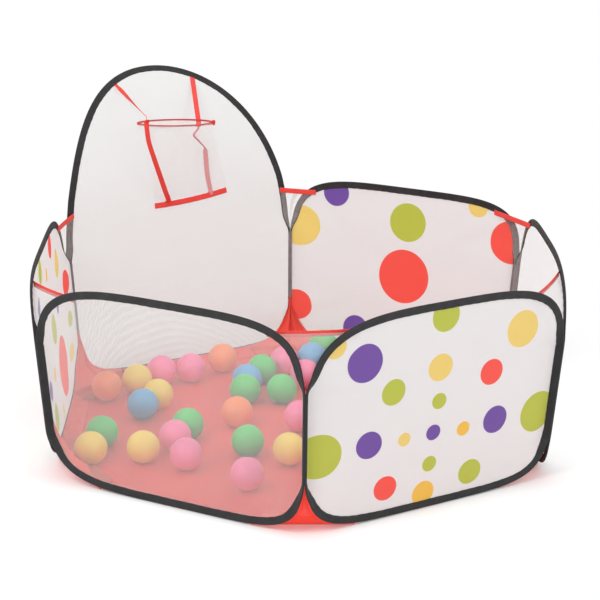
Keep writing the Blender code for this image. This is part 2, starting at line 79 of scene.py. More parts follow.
def add_camera():
    lens = bpy.data.cameras.new("camera")
    lens.lens = FOCAL_LENGTH_IN_PIXELS / PICTURE_WIDTH * lens.sensor_width
    camera = bpy.data.objects.new("camera", lens)
    bpy.context.scene.collection.objects.link(camera)
    tip_up = Matrix.Rotation(math.pi / 2 - CAMERA_PITCH, 4, "X")
    swing = Matrix.Rotation(-CAMERA_YAW, 4, "Z")
    roll = Matrix.Rotation(CAMERA_ROLL, 4, "Z")
    camera.matrix_world = Matrix.Translation(CAMERA_PLACE) @ swing @ tip_up @ roll
    bpy.context.scene.camera = camera
    return camera


camera = add_camera()
print("lens", round(camera.data.lens, 1), "mm")

# %% [markdown]
# ## Colours
# Colours are easiest to judge as they look on a screen, from 0 to 255, but shaders want linear light. One small
# function changes the first into the second, so the palette below can be read as a painter would mix it.

# %% Mix the palette
SCREEN_FULL = 255
LOW_SLOPE = 12.92
LOW_END = 0.04045
CURVE_OFFSET = 0.055
CURVE_POWER = 2.4


def screen_colour(red, green, blue):
    """A colour as a screen shows it, in linear light for a shader."""
    linear = []
    for value in (red, green, blue):
        share = value / SCREEN_FULL
        curved = ((share + CURVE_OFFSET) / (1 + CURVE_OFFSET)) ** CURVE_POWER
        linear.append(share / LOW_SLOPE if share <= LOW_END else curved)
    return (*linear, 1)


TAPE_BLACK = screen_colour(30, 30, 32)
TAPE_GREY = screen_colour(43, 43, 45)
THREAD_GREY = screen_colour(64, 64, 66)
SEAM_GREY = screen_colour(132, 128, 132)
SEAM_SHADE = screen_colour(112, 108, 112)
NET_WHITE = screen_colour(210, 210, 208)
CLOTH_WHITE = screen_colour(243, 243, 243)
RED_CLOTH = screen_colour(238, 62, 52)
RED_SHADE = screen_colour(214, 40, 36)
RED_TAPE = screen_colour(244, 70, 60)
# The gussets' red is painted lighter than the floor cloth's red, as painted light against the shade they stand in.
GUSSET_RED_PAINTED_LIGHTER = screen_colour(255, 98, 82)
DOTTED_SHADE = screen_colour(228, 222, 225)
# A paler red for the lower right strap: painted backlight, as if light shone through it and the net.
PAINTED_BACKLIT_RED = screen_colour(228, 142, 144)
PAINTED_BACKLIT_SHADE = screen_colour(216, 128, 130)
HOOP_RED = screen_colour(170, 50, 46)
STEEL_LIGHT = screen_colour(172, 174, 178)
STEEL_DARK = screen_colour(132, 134, 138)
STAGE_GREY = screen_colour(240, 240, 240)
DOT_COLOURS = {
    "purple": screen_colour(128, 92, 178),
    "lime": screen_colour(202, 210, 88),
    "yellow": screen_colour(246, 222, 132),
    "orange": screen_colour(250, 208, 92),
    "red": screen_colour(254, 100, 88),
}
BALL_COLOURS = {
    "orange": screen_colour(255, 130, 60),
    "yellow": screen_colour(250, 212, 52),
    "blue": screen_colour(88, 166, 218),
    "pink": screen_colour(255, 112, 164),
    "green": screen_colour(72, 200, 86),
}
print(len(DOT_COLOURS), "dot colours,", len(BALL_COLOURS), "ball colours")

# %% [markdown]
# ## Building a material
# A material is a graph of small nodes. Writing each link by hand hides the idea, so one helper adds a node and
# joins its inputs: an input that is given another node's output is linked, and any other value is typed in.

# %% Helpers for shader nodes
def fill(tree, node, inputs):
    """Links a node's inputs to the outputs of other nodes, or types their values in."""
    for name, value in inputs.items():
        if isinstance(value, bpy.types.NodeSocket):
            tree.links.new(value, node.inputs[name])
        else:
            node.inputs[name].default_value = value


def put(tree, kind, inputs, **settings):
    """Adds a node, with its settings and its inputs."""
    made = tree.nodes.new(kind)
    for name, value in settings.items():
        setattr(made, name, value)
    fill(tree, made, inputs)
    return made


def new_finish(name, sockets):
    """A material, its tree and its main shader, with plain values set on the shader's own sockets."""
    material = bpy.data.materials.new(name)
    material.use_nodes = True
    tree = material.node_tree
    shader = tree.nodes["Principled BSDF"]
    fill(tree, shader, sockets)
    return material, tree, shader


def math_node(tree, operation, *values, clamp=False):
    inputs = dict(enumerate(values))
    return put(tree, "ShaderNodeMath", inputs, operation=operation, use_clamp=clamp).outputs[0]


def vector_node(tree, operation, *values):
    return put(tree, "ShaderNodeVectorMath", dict(enumerate(values)), operation=operation).outputs


def rescale(tree, value, given=(0, 1), wanted=(0, 1), **settings):
    """A value moved from one range to another."""
    inputs = {"Value": value, "From Min": given[0], "From Max": given[1],
              "To Min": wanted[0], "To Max": wanted[1]}
    return put(tree, "ShaderNodeMapRange", inputs, **settings).outputs["Result"]


MIX_FACTOR, MIX_FIRST, MIX_SECOND, MIX_RESULT = 0, 6, 7, 2


def mix_colours(tree, share, first, second):
    inputs = {MIX_FACTOR: share, MIX_FIRST: first, MIX_SECOND: second}
    return put(tree, "ShaderNodeMix", inputs, data_type="RGBA").outputs[MIX_RESULT]


def darker(colour, share):
    return tuple(value * share for value in colour[:3]) + (1,)


def show_mixed(tree, share, first, second):
    """Shows a mix of two shaders, with the second one's share."""
    mixed = put(tree, "ShaderNodeMixShader", {0: share, 1: first.outputs[0], 2: second.outputs[0]})
    fill(tree, tree.nodes["Material Output"], {"Surface": mixed.outputs[0]})


def flat_cloth(tree):
    """Where a point lies on the flat cloth, in metres: every sheet's UV map holds that."""
    return put(tree, "ShaderNodeUVMap", {}, uv_map="Flat").outputs["UV"]


def blotches(tree, coordinates, scale, detail=3, stretch=0):
    """Soft random patches, as a value around one half."""
    inputs = {"Vector": coordinates, "Scale": scale, "Detail": detail, "Distortion": stretch}
    return put(tree, "ShaderNodeTexNoise", inputs).outputs["Fac"]


# %% [markdown]
# ## Woven cloth
# Plain weave is one thread over and one thread under, both ways. The product of two sine waves, one along each
# thread direction, is high where one set is on top and low where the other is, which is just what a bump map
# needs. Ribbed tape is the same with only one wave. Fine fibres are a stretched noise on top.

# %% Make the woven cloths
FULL_TURN = 2 * math.pi


def rib_wave(tree, distance, pitch):
    """A wave with one crest for each thread."""
    return math_node(tree, "SINE", math_node(tree, "MULTIPLY", distance, FULL_TURN / pitch))


def weave_height(tree, coordinates, along_pitch, across_pitch):
    """The height of a weave. A pitch of None leaves the ribs of the other direction."""
    place = put(tree, "ShaderNodeSeparateXYZ", {"Vector": coordinates})
    waves = [rib_wave(tree, place.outputs[index], pitch)
             for index, pitch in enumerate((along_pitch, across_pitch)) if pitch]
    return waves[0] if len(waves) == 1 else math_node(tree, "MULTIPLY", *waves)


def bump_from(tree, shader, height, depth, strength=1):
    bump = put(tree, "ShaderNodeBump", {"Height": height, "Distance": depth, "Strength": strength})
    fill(tree, shader, {"Normal": bump.outputs["Normal"]})


def add_weave(tree, shader, pitches, depth, fibre_share):
    """Bump from the weave and from the fibres that stand off it."""
    place = flat_cloth(tree)
    fibres = blotches(tree, place, FIBRE_SCALE, detail=2)
    height = math_node(tree, "MULTIPLY_ADD", fibres, fibre_share, weave_height(tree, place, *pitches))
    bump_from(tree, shader, height, depth)


FIBRE_SCALE = 900
PATCH_SCALE = 9
PATCH_RANGE = (0.3, 0.7)
TAPE_RIB = 0.0011
TAPE_THREAD = 0.0006
TAPE_DEPTH = 0.00012
TAPE_LOOK = {"Sheen Weight": 0.04, "Sheen Roughness": 0.6}
TAPE_FIBRE_SHARE = 0.8
WORN_SCALE = 45
WORN_RANGE = (0.35, 0.75)
RIB_LIGHT = 0.12
GLOSS_SCALE = 80
GLOSS_SPREAD = 0.1
CLOTH_THREAD = 0.00045
CLOTH_DEPTH = 0.00004
CLOTH_FIBRE_SHARE = 1.2
CLOTH_SHADE_SHARE = 0.6
CLOTH_GLOSS_SCALE = 60
CLOTH_ROUGHNESS = (0.5, 0.75)
CLOTH_SHEEN = 0.2
SLEEVE_SHEEN = 0.3
SHEEN_ROUGHNESS = 0.4
THROUGH_GAMMA = 0.5
GUSSET_THROUGH_SHARE = 0.3
GUSSET_PAINTED_GLOW_SHARE = 0.2
DULL_ROUGHNESS = 0.8
SOFT_ROUGHNESS = 0.7


def tape_finish(name, colour, worn_and_rib_lit_colour, roughness):
    """Ribbed binding tape, a little lighter in random rubbed patches, and with painted light along its rib crests.
    """
    material, tree, shader = new_finish(name, TAPE_LOOK)
    place = flat_cloth(tree)
    worn = rescale(tree, blotches(tree, place, WORN_SCALE), WORN_RANGE)
    ribs = weave_height(tree, place, TAPE_RIB, None)
    # Rib crests get more of the lighter colour: a painted highlight along the ribs, over the random rubbed patches.
    lit = math_node(tree, "MULTIPLY_ADD", ribs, RIB_LIGHT, worn, clamp=True)
    range_wanted = (roughness - GLOSS_SPREAD, roughness + GLOSS_SPREAD)
    fill(tree, shader, {"Base Color": mix_colours(tree, lit, colour, worn_and_rib_lit_colour),
                        "Roughness": rescale(tree, blotches(tree, place, GLOSS_SCALE), wanted=range_wanted)})
    add_weave(tree, shader, (TAPE_RIB, TAPE_THREAD), TAPE_DEPTH, TAPE_FIBRE_SHARE)
    return material


def cloth_finish(name, colour, shade_colour, sheen, through_share=0, painted_glow_share=0):
    """Thin plain-woven polyester with soft uneven patches, which may let light through or get a painted glow."""
    material, tree, shader = new_finish(name, {"Sheen Weight": sheen, "Sheen Roughness": SHEEN_ROUGHNESS,
                                               "Emission Color": colour, "Emission Strength": painted_glow_share})
    place = flat_cloth(tree)
    patches = rescale(tree, blotches(tree, place, PATCH_SCALE), PATCH_RANGE, (0, CLOTH_SHADE_SHARE))
    rough = rescale(tree, blotches(tree, place, CLOTH_GLOSS_SCALE), wanted=CLOTH_ROUGHNESS)
    fill(tree, shader, {"Base Color": mix_colours(tree, patches, colour, shade_colour), "Roughness": rough})
    add_weave(tree, shader, (CLOTH_THREAD, CLOTH_THREAD), CLOTH_DEPTH, CLOTH_FIBRE_SHARE)
    if through_share:
        paler = tuple(value ** THROUGH_GAMMA for value in colour)
        show_mixed(tree, through_share, shader, put(tree, "ShaderNodeBsdfTranslucent", {"Color": paler}))
    return material


black_tape = tape_finish("black_tape", TAPE_BLACK, TAPE_GREY, DULL_ROUGHNESS)
red_tape = tape_finish("red_tape", RED_TAPE, RED_CLOTH, SOFT_ROUGHNESS)
red_cloth = cloth_finish("red_cloth", RED_CLOTH, RED_SHADE, CLOTH_SHEEN)
gusset_cloth = cloth_finish("gusset_cloth", GUSSET_RED_PAINTED_LIGHTER, RED_TAPE, CLOTH_SHEEN, GUSSET_THROUGH_SHARE)
# The front gusset's copy also emits a little of its own red: a painted glow.
painted_glow_gusset_cloth = cloth_finish("painted_glow_gusset_cloth", GUSSET_RED_PAINTED_LIGHTER, RED_TAPE, CLOTH_SHEEN, GUSSET_THROUGH_SHARE,
                                GUSSET_PAINTED_GLOW_SHARE)
hoop_sleeve = cloth_finish("hoop_sleeve", HOOP_RED, RED_SHADE, SLEEVE_SHEEN)
thread_finish = tape_finish("grey_thread", THREAD_GREY, TAPE_GREY, SOFT_ROUGHNESS)
red_thread = tape_finish("red_thread", RED_CLOTH, RED_SHADE, SOFT_ROUGHNESS)
painted_backlit_tape = tape_finish("painted_backlit_red_tape", PAINTED_BACKLIT_RED, PAINTED_BACKLIT_SHADE, SOFT_ROUGHNESS)
seam_grey = tape_finish("seam_binding", SEAM_GREY, SEAM_SHADE, DULL_ROUGHNESS)
print("ten woven finishes")

# %% [markdown]
# ## Net
# The net walls are knitted with round holes in rows that stand half a hole apart. Its holes are far too many to
# model, so the shader cuts them: the distance to the nearest hole's middle is the smaller of the distances in two
# square grids, one shifted by half a cell. Inside a hole the surface is transparent.

# %% Make the net
NET_PITCH = 0.0019
OPEN_HOLE_SHARE = 0.415
CLOSE_HOLE_SHARE = 0.345
FINE_HOLE_SHARE = 0.482
HOLE_SOFTNESS_SHARE = 0.03
ROW_RISE = math.sqrt(3)
CELL_MIDDLE = (0.5, 0.5, 0)
NET_DEPTH = 0.0003
NET_LOOK = {"Roughness": 0.6, "Sheen Weight": 0.15}
NET_TONE_SCALE = 14
NET_TONE_SHARE = 0.5
NET_SHADE_SHARE = 0.86


def distance_to_hole(tree, place, shift_share):
    """Distance to the middle of the nearest hole, in hole pitches, for every second row."""
    shifted = vector_node(tree, "ADD", place, (shift_share, shift_share, 0))[0]
    centred = vector_node(tree, "SUBTRACT", vector_node(tree, "FRACTION", shifted)[0], CELL_MIDDLE)[0]
    scaled = vector_node(tree, "MULTIPLY", centred, (1, ROW_RISE, 0))[0]
    return vector_node(tree, "LENGTH", scaled)["Value"]


def net_finish(name, colour, hole_radius_share):
    material, tree, shader = new_finish(name, NET_LOOK)
    cell = (1 / NET_PITCH, 1 / (NET_PITCH * ROW_RISE), 0)
    place = vector_node(tree, "MULTIPLY", flat_cloth(tree), cell)[0]
    nearest = math_node(tree, "MINIMUM", distance_to_hole(tree, place, 0), distance_to_hole(tree, place, 0.5))
    thread = rescale(tree, nearest, (hole_radius_share, hole_radius_share + HOLE_SOFTNESS_SHARE))
    tone = rescale(tree, blotches(tree, flat_cloth(tree), NET_TONE_SCALE), wanted=(0, NET_TONE_SHARE))
    fill(tree, shader, {"Base Color": mix_colours(tree, tone, colour, darker(colour, NET_SHADE_SHARE))})
    bump_from(tree, shader, nearest, NET_DEPTH)
    show_mixed(tree, thread, put(tree, "ShaderNodeBsdfTransparent", {}), shader)
    return material


white_net = net_finish("white_net", NET_WHITE, OPEN_HOLE_SHARE)
close_net = net_finish("close_net", NET_WHITE, CLOSE_HOLE_SHARE)
fine_net = net_finish("fine_net", CLOTH_WHITE, FINE_HOLE_SHARE)
print("net with holes", round(2 * NET_PITCH * OPEN_HOLE_SHARE * 1000, 2), "mm wide")

# %% [markdown]
# ## Printed dots
# Three walls are white cloth with round dots in five colours and three rough sizes. The sheet's UV map is its flat
# shape in metres, so a dot is simply every point nearer than its radius to a place on the cloth. The dots are laid
# one after another over the white, as a printer lays them. Thin cloth also lets some light through. That light
# crosses two surfaces, so each takes the square root of the colour, which is a gamma of one half.

# %% Lay out the dots
MILLIMETRE = 0.001
# Colour, place along the wall towards its first corner, height up the cloth and radius, in millimetres
FRONT_RIGHT_DOTS = (
    ("lime", -2, 347, 27), ("yellow", -165, 298, 33), ("purple", 153, 291, 33), ("yellow", 3, 258, 24),
    ("red", -106, 230, 23), ("lime", 94, 230, 23), ("lime", 0, 197, 14), ("purple", -123, 139, 25),
    ("lime", -217, 133, 37), ("orange", -55, 136, 13), ("purple", 7, 141, 14), ("yellow", 66, 140, 12),
    ("purple", 135, 143, 24), ("lime", 225, 138, 39), ("lime", 9, 83, 14), ("lime", -78, 50, 23),
    ("red", 96, 56, 22), ("orange", 17, 30, 22), ("yellow", 211, 328, 20),
)
BACK_RIGHT_DOTS = (
    ("purple", -156, 345, 29), ("yellow", -232, 265, 42), ("lime", 11, 301, 40), ("red", 8, 187, 56),
    ("red", 238, 290, 42), ("yellow", 165, 353, 21), ("red", -232, 94, 32), ("lime", 128, 92, 30),
    ("purple", -96, 60, 28), ("yellow", 40, 58, 22), ("purple", 205, 132, 22), ("orange", 190, 48, 16),
)
LEFT_DOTS = (
    ("red", 65, 338, 22), ("lime", -101, 336, 22), ("yellow", 139, 285, 28), ("orange", -20, 307, 13),
    ("red", 207, 225, 25), ("purple", -154, 287, 18), ("lime", 15, 192, 28), ("red", 81, 97, 58),
    ("yellow", -195, 170, 33), ("purple", -62, 248, 13), ("lime", -96, 58, 26), ("orange", -40, 122, 13),
    ("purple", -122, 118, 18), ("yellow", 196, 84, 20), ("lime", 210, 150, 16), ("purple", 98, 212, 15),
    ("yellow", 0, 34, 14),
)
DOT_EDGE = 0.0006
DOTTED_LOOK = {"Roughness": 0.62, "Sheen Weight": 0.15, "Sheen Roughness": SHEEN_ROUGHNESS}
DOTTED_SHADE_SHARE = 0.12
FRONT_THROUGH_SHARE, BACK_THROUGH_SHARE, LEFT_THROUGH_SHARE = 0.42, 0.64, 0.60


def dotted_finish(name, dots, through_share):
    material, tree, shader = new_finish(name, DOTTED_LOOK)
    place = flat_cloth(tree)
    tone = rescale(tree, blotches(tree, place, PATCH_SCALE), wanted=(0, DOTTED_SHADE_SHARE))
    colour = mix_colours(tree, tone, CLOTH_WHITE, DOTTED_SHADE)
    for dot_colour, along, up, radius in dots:
        middle = (along * MILLIMETRE, up * MILLIMETRE, 0)
        away = vector_node(tree, "DISTANCE", place, middle)["Value"]
        edge = radius * MILLIMETRE
        inside = rescale(tree, away, (edge + DOT_EDGE, edge))
        colour = mix_colours(tree, inside, colour, DOT_COLOURS[dot_colour])
    fill(tree, shader, {"Base Color": colour})
    add_weave(tree, shader, (CLOTH_THREAD, CLOTH_THREAD), CLOTH_DEPTH, CLOTH_FIBRE_SHARE)
    paler = put(tree, "ShaderNodeGamma", {"Color": colour, "Gamma": THROUGH_GAMMA}).outputs["Color"]
    show_mixed(tree, through_share, shader, put(tree, "ShaderNodeBsdfTranslucent", {"Color": paler}))
    return material


dotted_cloths = {
    "front_right": dotted_finish("dots_front_right", FRONT_RIGHT_DOTS, FRONT_THROUGH_SHARE),
    "back_right": dotted_finish("dots_back_right", BACK_RIGHT_DOTS, BACK_THROUGH_SHARE),
    "left": dotted_finish("dots_left", LEFT_DOTS, LEFT_THROUGH_SHARE),
}
print("dots", len(FRONT_RIGHT_DOTS), len(BACK_RIGHT_DOTS), len(LEFT_DOTS))

# %% [markdown]
# ## Soft plastic and spring steel
# The balls are blown from soft plastic: satin, a little uneven, with fine scuffs that catch the light. The noise
# reads the piece's own coordinates, so that it stays on the ball when the ball is lifted out. The wires are hidden
# in their tapes, and get a drawn steel with faint lines in case a tape is taken off.

# %% Make the plastics and the steel
SCUFF_SCALE = 140
SCUFF_DETAIL = 6
SCUFF_STRETCH = 2
SCUFF_DEPTH = 0.00012
SCUFF_STRENGTH = 0.5
PLASTIC_LOOK = {"Coat Weight": 0.08, "Coat Roughness": 0.35,
                "Subsurface Weight": 0.05, "Subsurface Scale": 0.004}
PLASTIC_PATCH_SCALE = 26
PLASTIC_SHADE_SHARE = 0.84
PLASTIC_ROUGHNESS = (0.34, 0.52)
STEEL_LINE_SCALE = 700
STEEL_LINE_DEPTH = 0.00003
STEEL_ROUGHNESS = (0.25, 0.45)


def plastic_finish(name, colour):
    material, tree, shader = new_finish(name, PLASTIC_LOOK)
    place = put(tree, "ShaderNodeTexCoord", {}).outputs["Object"]
    patches = rescale(tree, blotches(tree, place, PLASTIC_PATCH_SCALE), PATCH_RANGE)
    scuffs = blotches(tree, place, SCUFF_SCALE, SCUFF_DETAIL, SCUFF_STRETCH)
    fill(tree, shader, {"Base Color": mix_colours(tree, patches, colour, darker(colour, PLASTIC_SHADE_SHARE)),
                        "Roughness": rescale(tree, scuffs, PATCH_RANGE, PLASTIC_ROUGHNESS)})
    bump_from(tree, shader, scuffs, SCUFF_DEPTH, SCUFF_STRENGTH)
    return material


def steel_finish():
    material, tree, shader = new_finish("spring_steel", {"Metallic": 1})
    place = put(tree, "ShaderNodeTexCoord", {}).outputs["Object"]
    drawn = blotches(tree, place, STEEL_LINE_SCALE, detail=2)
    fill(tree, shader, {"Base Color": mix_colours(tree, drawn, STEEL_LIGHT, STEEL_DARK),
                        "Roughness": rescale(tree, drawn, wanted=STEEL_ROUGHNESS)})
    bump_from(tree, shader, drawn, STEEL_LINE_DEPTH)
    return material


ball_plastics = {name: plastic_finish(f"ball_{name}", colour) for name, colour in BALL_COLOURS.items()}
spring_steel = steel_finish()
print(len(ball_plastics), "plastics")

# %% [markdown]
# ## The walls' shape
# Every wall is cut flat, then leaned outwards, and the tall one also bends backwards on an arc. So each piece of a
# wall is drawn flat, with x along the wall and y up the cloth, and one function takes flat places to the world.
# The sizes are the CAD model's, but here each corner of a loop has a roundness of its own. numpy does the sums for
# thousands of points at once.

# %% Sizes of the ring of walls
WALL_NAMES = ("front_right", "right", "back_right", "hoop", "left", "front_left")
CORNER_NAMES = ("front", "right_front", "right_back", "back", "left_back", "left_front")
WALL_COUNT = len(WALL_NAMES)
TALL_WALL = WALL_NAMES.index("hoop")
WALL_WIDTH = 0.500
RIM_HEIGHT = 0.372
CORNER_LEAN = 0.034
SEAM_HALF_GAP = 0.0018
LOOP_FOOT = 0.0013
LOOP_EXPONENT = 4.1
TALL_LENGTH = 0.642
TALL_WIDEST_SHARE = 0.316
# Exponents of a loop's corners: top and foot towards its first corner, then top and foot towards its second one
CORNER_EXPONENTS = {
    "front_right": (3.4, 5.1, 4.0, 5.4), "right": (3.0, 6.6, 4.1, 5.0), "back_right": (4.8, 5.0, 4.0, 5.0),
    "hoop": (2.05, 6.5, 2.05, 6.5), "left": (3.4, 5.0, 5.6, 3.4), "front_left": (3.7, 4.5, 4.4, 5.6),
}
BEND_START = 0.330
BEND_RADIUS = 0.414
TAPE_WIDTH = 0.014
TAPE_HALF = 0.00185
CLOTH_INSET = 0.0047

WALL_TURN = FULL_TURN / WALL_COUNT
FOOT_DISTANCE = WALL_WIDTH / 2 / math.tan(WALL_TURN / 2)
CORNER_DISTANCE = WALL_WIDTH / 2 / math.sin(WALL_TURN / 2)
LEAN_ANGLE = math.atan2(CORNER_LEAN * math.cos(WALL_TURN / 2), RIM_HEIGHT)
FLARE = CORNER_LEAN * math.sin(WALL_TURN / 2) / RIM_HEIGHT
SHORT_LENGTH = RIM_HEIGHT / math.cos(LEAN_ANGLE)


def wall_surface(length, tall):
    """Outward run, height and slope of a wall at a length up its cloth."""
    over = np.maximum(np.asarray(length, float) - BEND_START, 0) * tall
    straight = length - over
    slope = LEAN_ANGLE + over / BEND_RADIUS
    run = straight * math.sin(LEAN_ANGLE) + BEND_RADIUS * (math.cos(LEAN_ANGLE) - np.cos(slope))
    height = straight * math.cos(LEAN_ANGLE) + BEND_RADIUS * (np.sin(slope) - math.sin(LEAN_ANGLE))
    return run, height, slope


def beside_wall(wall, away, along):
    """Level x and y of a place by a wall, from how far out it is from the pit's middle and how far along."""
    turn = (wall - 1) * WALL_TURN
    return away * math.cos(turn) + along * math.sin(turn), away * math.sin(turn) - along * math.cos(turn)


def on_wall(wall, along, length, inward):
    """World points from flat places on a wall's cloth. Inward is the distance off its inner side."""
    along, length, inward = np.broadcast_arrays(along, length, inward)
    run, height, slope = wall_surface(length, wall == TALL_WALL)
    x, y = beside_wall(wall, FOOT_DISTANCE + run - inward * np.cos(slope), along)
    return np.stack([x, y, height + inward * np.sin(slope)], -1)


print("walls", WALL_COUNT, "rim", RIM_HEIGHT, "lean", round(math.degrees(LEAN_ANGLE), 1), "degrees")

# %% [markdown]
# ## The loops' outline
# A loop that is sewn into a square of cloth springs into a rounded square. A superellipse is that shape: an
# exponent of 2 gives an ellipse, and a higher one squares the corners. No loop is quite even, so each of its four
# corners has its own exponent, and the tall loop's arched top has the lowest. Where two loops are sewn together,
# their sides are pulled straight. The points are then spaced evenly along the line.

# %% Draw a loop
DENSE_STEPS = 20000
LOOP_SAMPLES = 720
SEWN_FOOT = (0.055, 0.102)
SEWN_TOP = (0.285, 0.245)
SEWN_CLOSER = 0.0014


def signed_power(value, power):
    return np.sign(value) * np.abs(value) ** power


def half_width(length):
    return WALL_WIDTH / 2 - SEAM_HALF_GAP + FLARE * np.minimum(length, RIM_HEIGHT)


def eased(value, start, end):
    """Goes smoothly from 0 at the start to 1 at the end."""
    share = np.clip((value - start) / (end - start), 0, 1)
    return share * share * (3 - 2 * share)


def loop_point(turn, wall):
    tall = wall == TALL_WALL
    upper, first = np.sin(turn) > 0, np.cos(turn) > 0
    reach = (TALL_LENGTH if tall else SHORT_LENGTH) - LOOP_FOOT
    widest_share = TALL_WIDEST_SHARE if tall else 1 / 2
    top_first, foot_first, top_second, foot_second = CORNER_EXPONENTS[WALL_NAMES[wall]]
    first_exponent = np.where(upper, top_first, foot_first)
    exponent = np.where(first, first_exponent, np.where(upper, top_second, foot_second))
    rise = signed_power(np.sin(turn), 2 / exponent) * np.where(upper, 1 - widest_share, widest_share)
    length = LOOP_FOOT + reach * (widest_share + rise)
    side = np.abs(np.cos(turn)) ** (2 / exponent) * half_width(length)
    sewn = eased(length, *SEWN_FOOT) * eased(length, *SEWN_TOP)
    side += sewn * (half_width(length) + SEWN_CLOSER - side)
    return np.stack([np.sign(np.cos(turn)) * side, length], -1)


def evenly(line, count):
    """A closed line's points, spaced evenly, and the distance along it to each and back to the first."""
    closed = np.vstack([line, line[:1]])
    distance = np.r_[0, np.cumsum(np.linalg.norm(np.diff(closed, axis=0), axis=1))]
    wanted = np.linspace(0, distance[-1], count + 1)
    points = np.stack([np.interp(wanted, distance, closed[:, axis]) for axis in range(line.shape[1])], -1)
    return points[:-1], wanted


def unit(vectors):
    return vectors / np.linalg.norm(vectors, axis=-1, keepdims=True)


def loop_line(wall, count):
    """Evenly spaced points on a loop's outer edge, the directions into the loop, and the distance along."""
    turns = (np.arange(DENSE_STEPS) + 1 / 2) * FULL_TURN / DENSE_STEPS
    edge, distance = evenly(loop_point(turns, wall), count)
    ahead = np.roll(edge, -1, axis=0) - np.roll(edge, 1, axis=0)
    return edge, unit(np.stack([-ahead[:, 1], ahead[:, 0]], -1)), distance


LOOP_LINES = [loop_line(wall, LOOP_SAMPLES) for wall in range(WALL_COUNT)]


def side_of(wall, towards, inset):
    """Heights and distances from the middle of a loop's side, moved in from its outer edge, from the foot up.

    Towards is 1 for the side at the wall's first corner and -1 for the other."""
    edge, inwards, _ = LOOP_LINES[wall]
    points = (edge + inwards * inset) * (towards, 1)
    points = points[points[:, 0] > 0]
    points = points[np.argsort(points[:, 1])]
    return points[:, 1], points[:, 0]


for name, (_, _, distance) in zip(WALL_NAMES, LOOP_LINES):
    print(name, "loop", round(distance[-1], 3), "m round")

# %% [markdown]
# ## Tapes turn in at the seams
# Where two loops are sewn side by side, the cloths pull their tapes over: each tape turns about its wire, and its
# free edge comes some way into the pit. So from inside and from outside a seam looks narrow. The turn is largest on
# the sewn sides and fades above and below them, and where the loop turns level. Beyond the tape the cloth eases back
# to the wall's plane.

# %% Turn the tapes and the cloths
SEAM_TURN = math.radians(57)
TURN_FOOT = (0.018, 0.095)
TURN_TOP = (0.300, 0.245)
TURN_EASE = 0.032


def seam_turns(edge, inwards):
    """How far the tape turns in at each point of a loop."""
    return SEAM_TURN * inwards[:, 0] ** 2 * eased(edge[:, 1], *TURN_FOOT) * eased(edge[:, 1], *TURN_TOP)


def turned(inset, lift, turn):
    """A place by a tape turned about its wire, as distance into the loop and lift off the wall's plane."""
    on_tape = np.minimum(inset, TAPE_WIDTH) - TAPE_HALF
    into = TAPE_HALF + on_tape * np.cos(turn) - lift * np.sin(turn)
    off = on_tape * np.sin(turn) + lift * np.cos(turn)
    beyond = np.maximum(inset - TAPE_WIDTH, 0)
    ease = np.exp(-beyond / TURN_EASE)
    return np.where(beyond > 0, inset + (into - TAPE_WIDTH) * ease, into), lift + (off - lift) * ease


LOOPS = [(edge, inwards, seam_turns(edge, inwards)) for edge, inwards, _ in LOOP_LINES]


def by_loop(wall, flat, lift):
    """World points from flat places of a wall's cloth, with the seams' turn."""
    edge, inwards, turns = LOOPS[wall]
    places = np.asarray(flat, float).reshape(-1, 2)
    nearest = np.argmin(((places[:, None] - edge[None]) ** 2).sum(2), axis=1)
    away = ((places - edge[nearest]) * inwards[nearest]).sum(1)
    lifts = np.broadcast_to(lift, np.shape(flat)[:-1]).reshape(-1)
    into, off = turned(away, lifts, turns[nearest])
    moved = places + inwards[nearest] * (into - away)[:, None]
    return on_wall(wall, moved[:, 0], moved[:, 1], off).reshape(*np.shape(flat)[:-1], 3)


print("seams turn in by", round(math.degrees(SEAM_TURN)), "degrees")

# %% [markdown]
# ## From points to a piece
# A sheet of cloth is a grid of points, and so are a tape and a tube, which only close on themselves. One function
# turns any such grid into a mesh and keeps each corner's place on the flat cloth, in metres, as its UV map. The
# weave, the net's holes and the dots all follow that map.

# %% Helpers for pieces
def grid_mesh(name, points, flats, rows_close=False, columns_close=False):
    """Quads over a grid of points. flats has one more row or column where the grid closes."""
    rows, columns = points.shape[:2]
    last_row, last_column = rows - 1 + rows_close, columns - 1 + columns_close
    row, column = np.meshgrid(range(last_row), range(last_column), indexing="ij")
    row, column = row.ravel(), column.ravel()
    corners = [(row, column), (row, column + 1), (row + 1, column + 1), (row + 1, column)]
    quads = np.stack([(r % rows) * columns + c % columns for r, c in corners], -1)
    mesh = bpy.data.meshes.new(name)
    mesh.from_pydata(points.reshape(-1, 3).tolist(), [], quads.tolist())
    layer = mesh.uv_layers.new(name="Flat")
    layer.data.foreach_set("uv", np.stack([flats[r, c] for r, c in corners], 1).astype(np.float32).ravel())
    return mesh


def flat_places(down, across):
    """The flat places of a grid's corners, from its rows' and its columns' distances."""
    return np.stack(np.meshgrid(down, across, indexing="ij"), -1)


def face_out(mesh):
    """Turns a closed mesh's faces outwards."""
    shape = bmesh.new()
    shape.from_mesh(mesh)
    bmesh.ops.remove_doubles(shape, verts=shape.verts, dist=1e-6)
    bmesh.ops.recalc_face_normals(shape, faces=shape.faces)
    shape.to_mesh(mesh)
    shape.free()
    return mesh


def make_piece(name, mesh, *finishes):
    piece = bpy.data.objects.new(name, mesh)
    mesh.name = name
    bpy.context.scene.collection.objects.link(piece)
    for finish in finishes:
        mesh.materials.append(finish)
    mesh.shade_smooth()
    return piece


def settle(piece):
    """Applies a piece's modifiers, which leaves a plain mesh."""
    graph = bpy.context.evaluated_depsgraph_get()
    mesh = bpy.data.meshes.new_from_object(piece.evaluated_get(graph))
    piece.modifiers.clear()
    piece.data = mesh
    mesh.name = piece.name
    mesh.shade_smooth()
    return piece


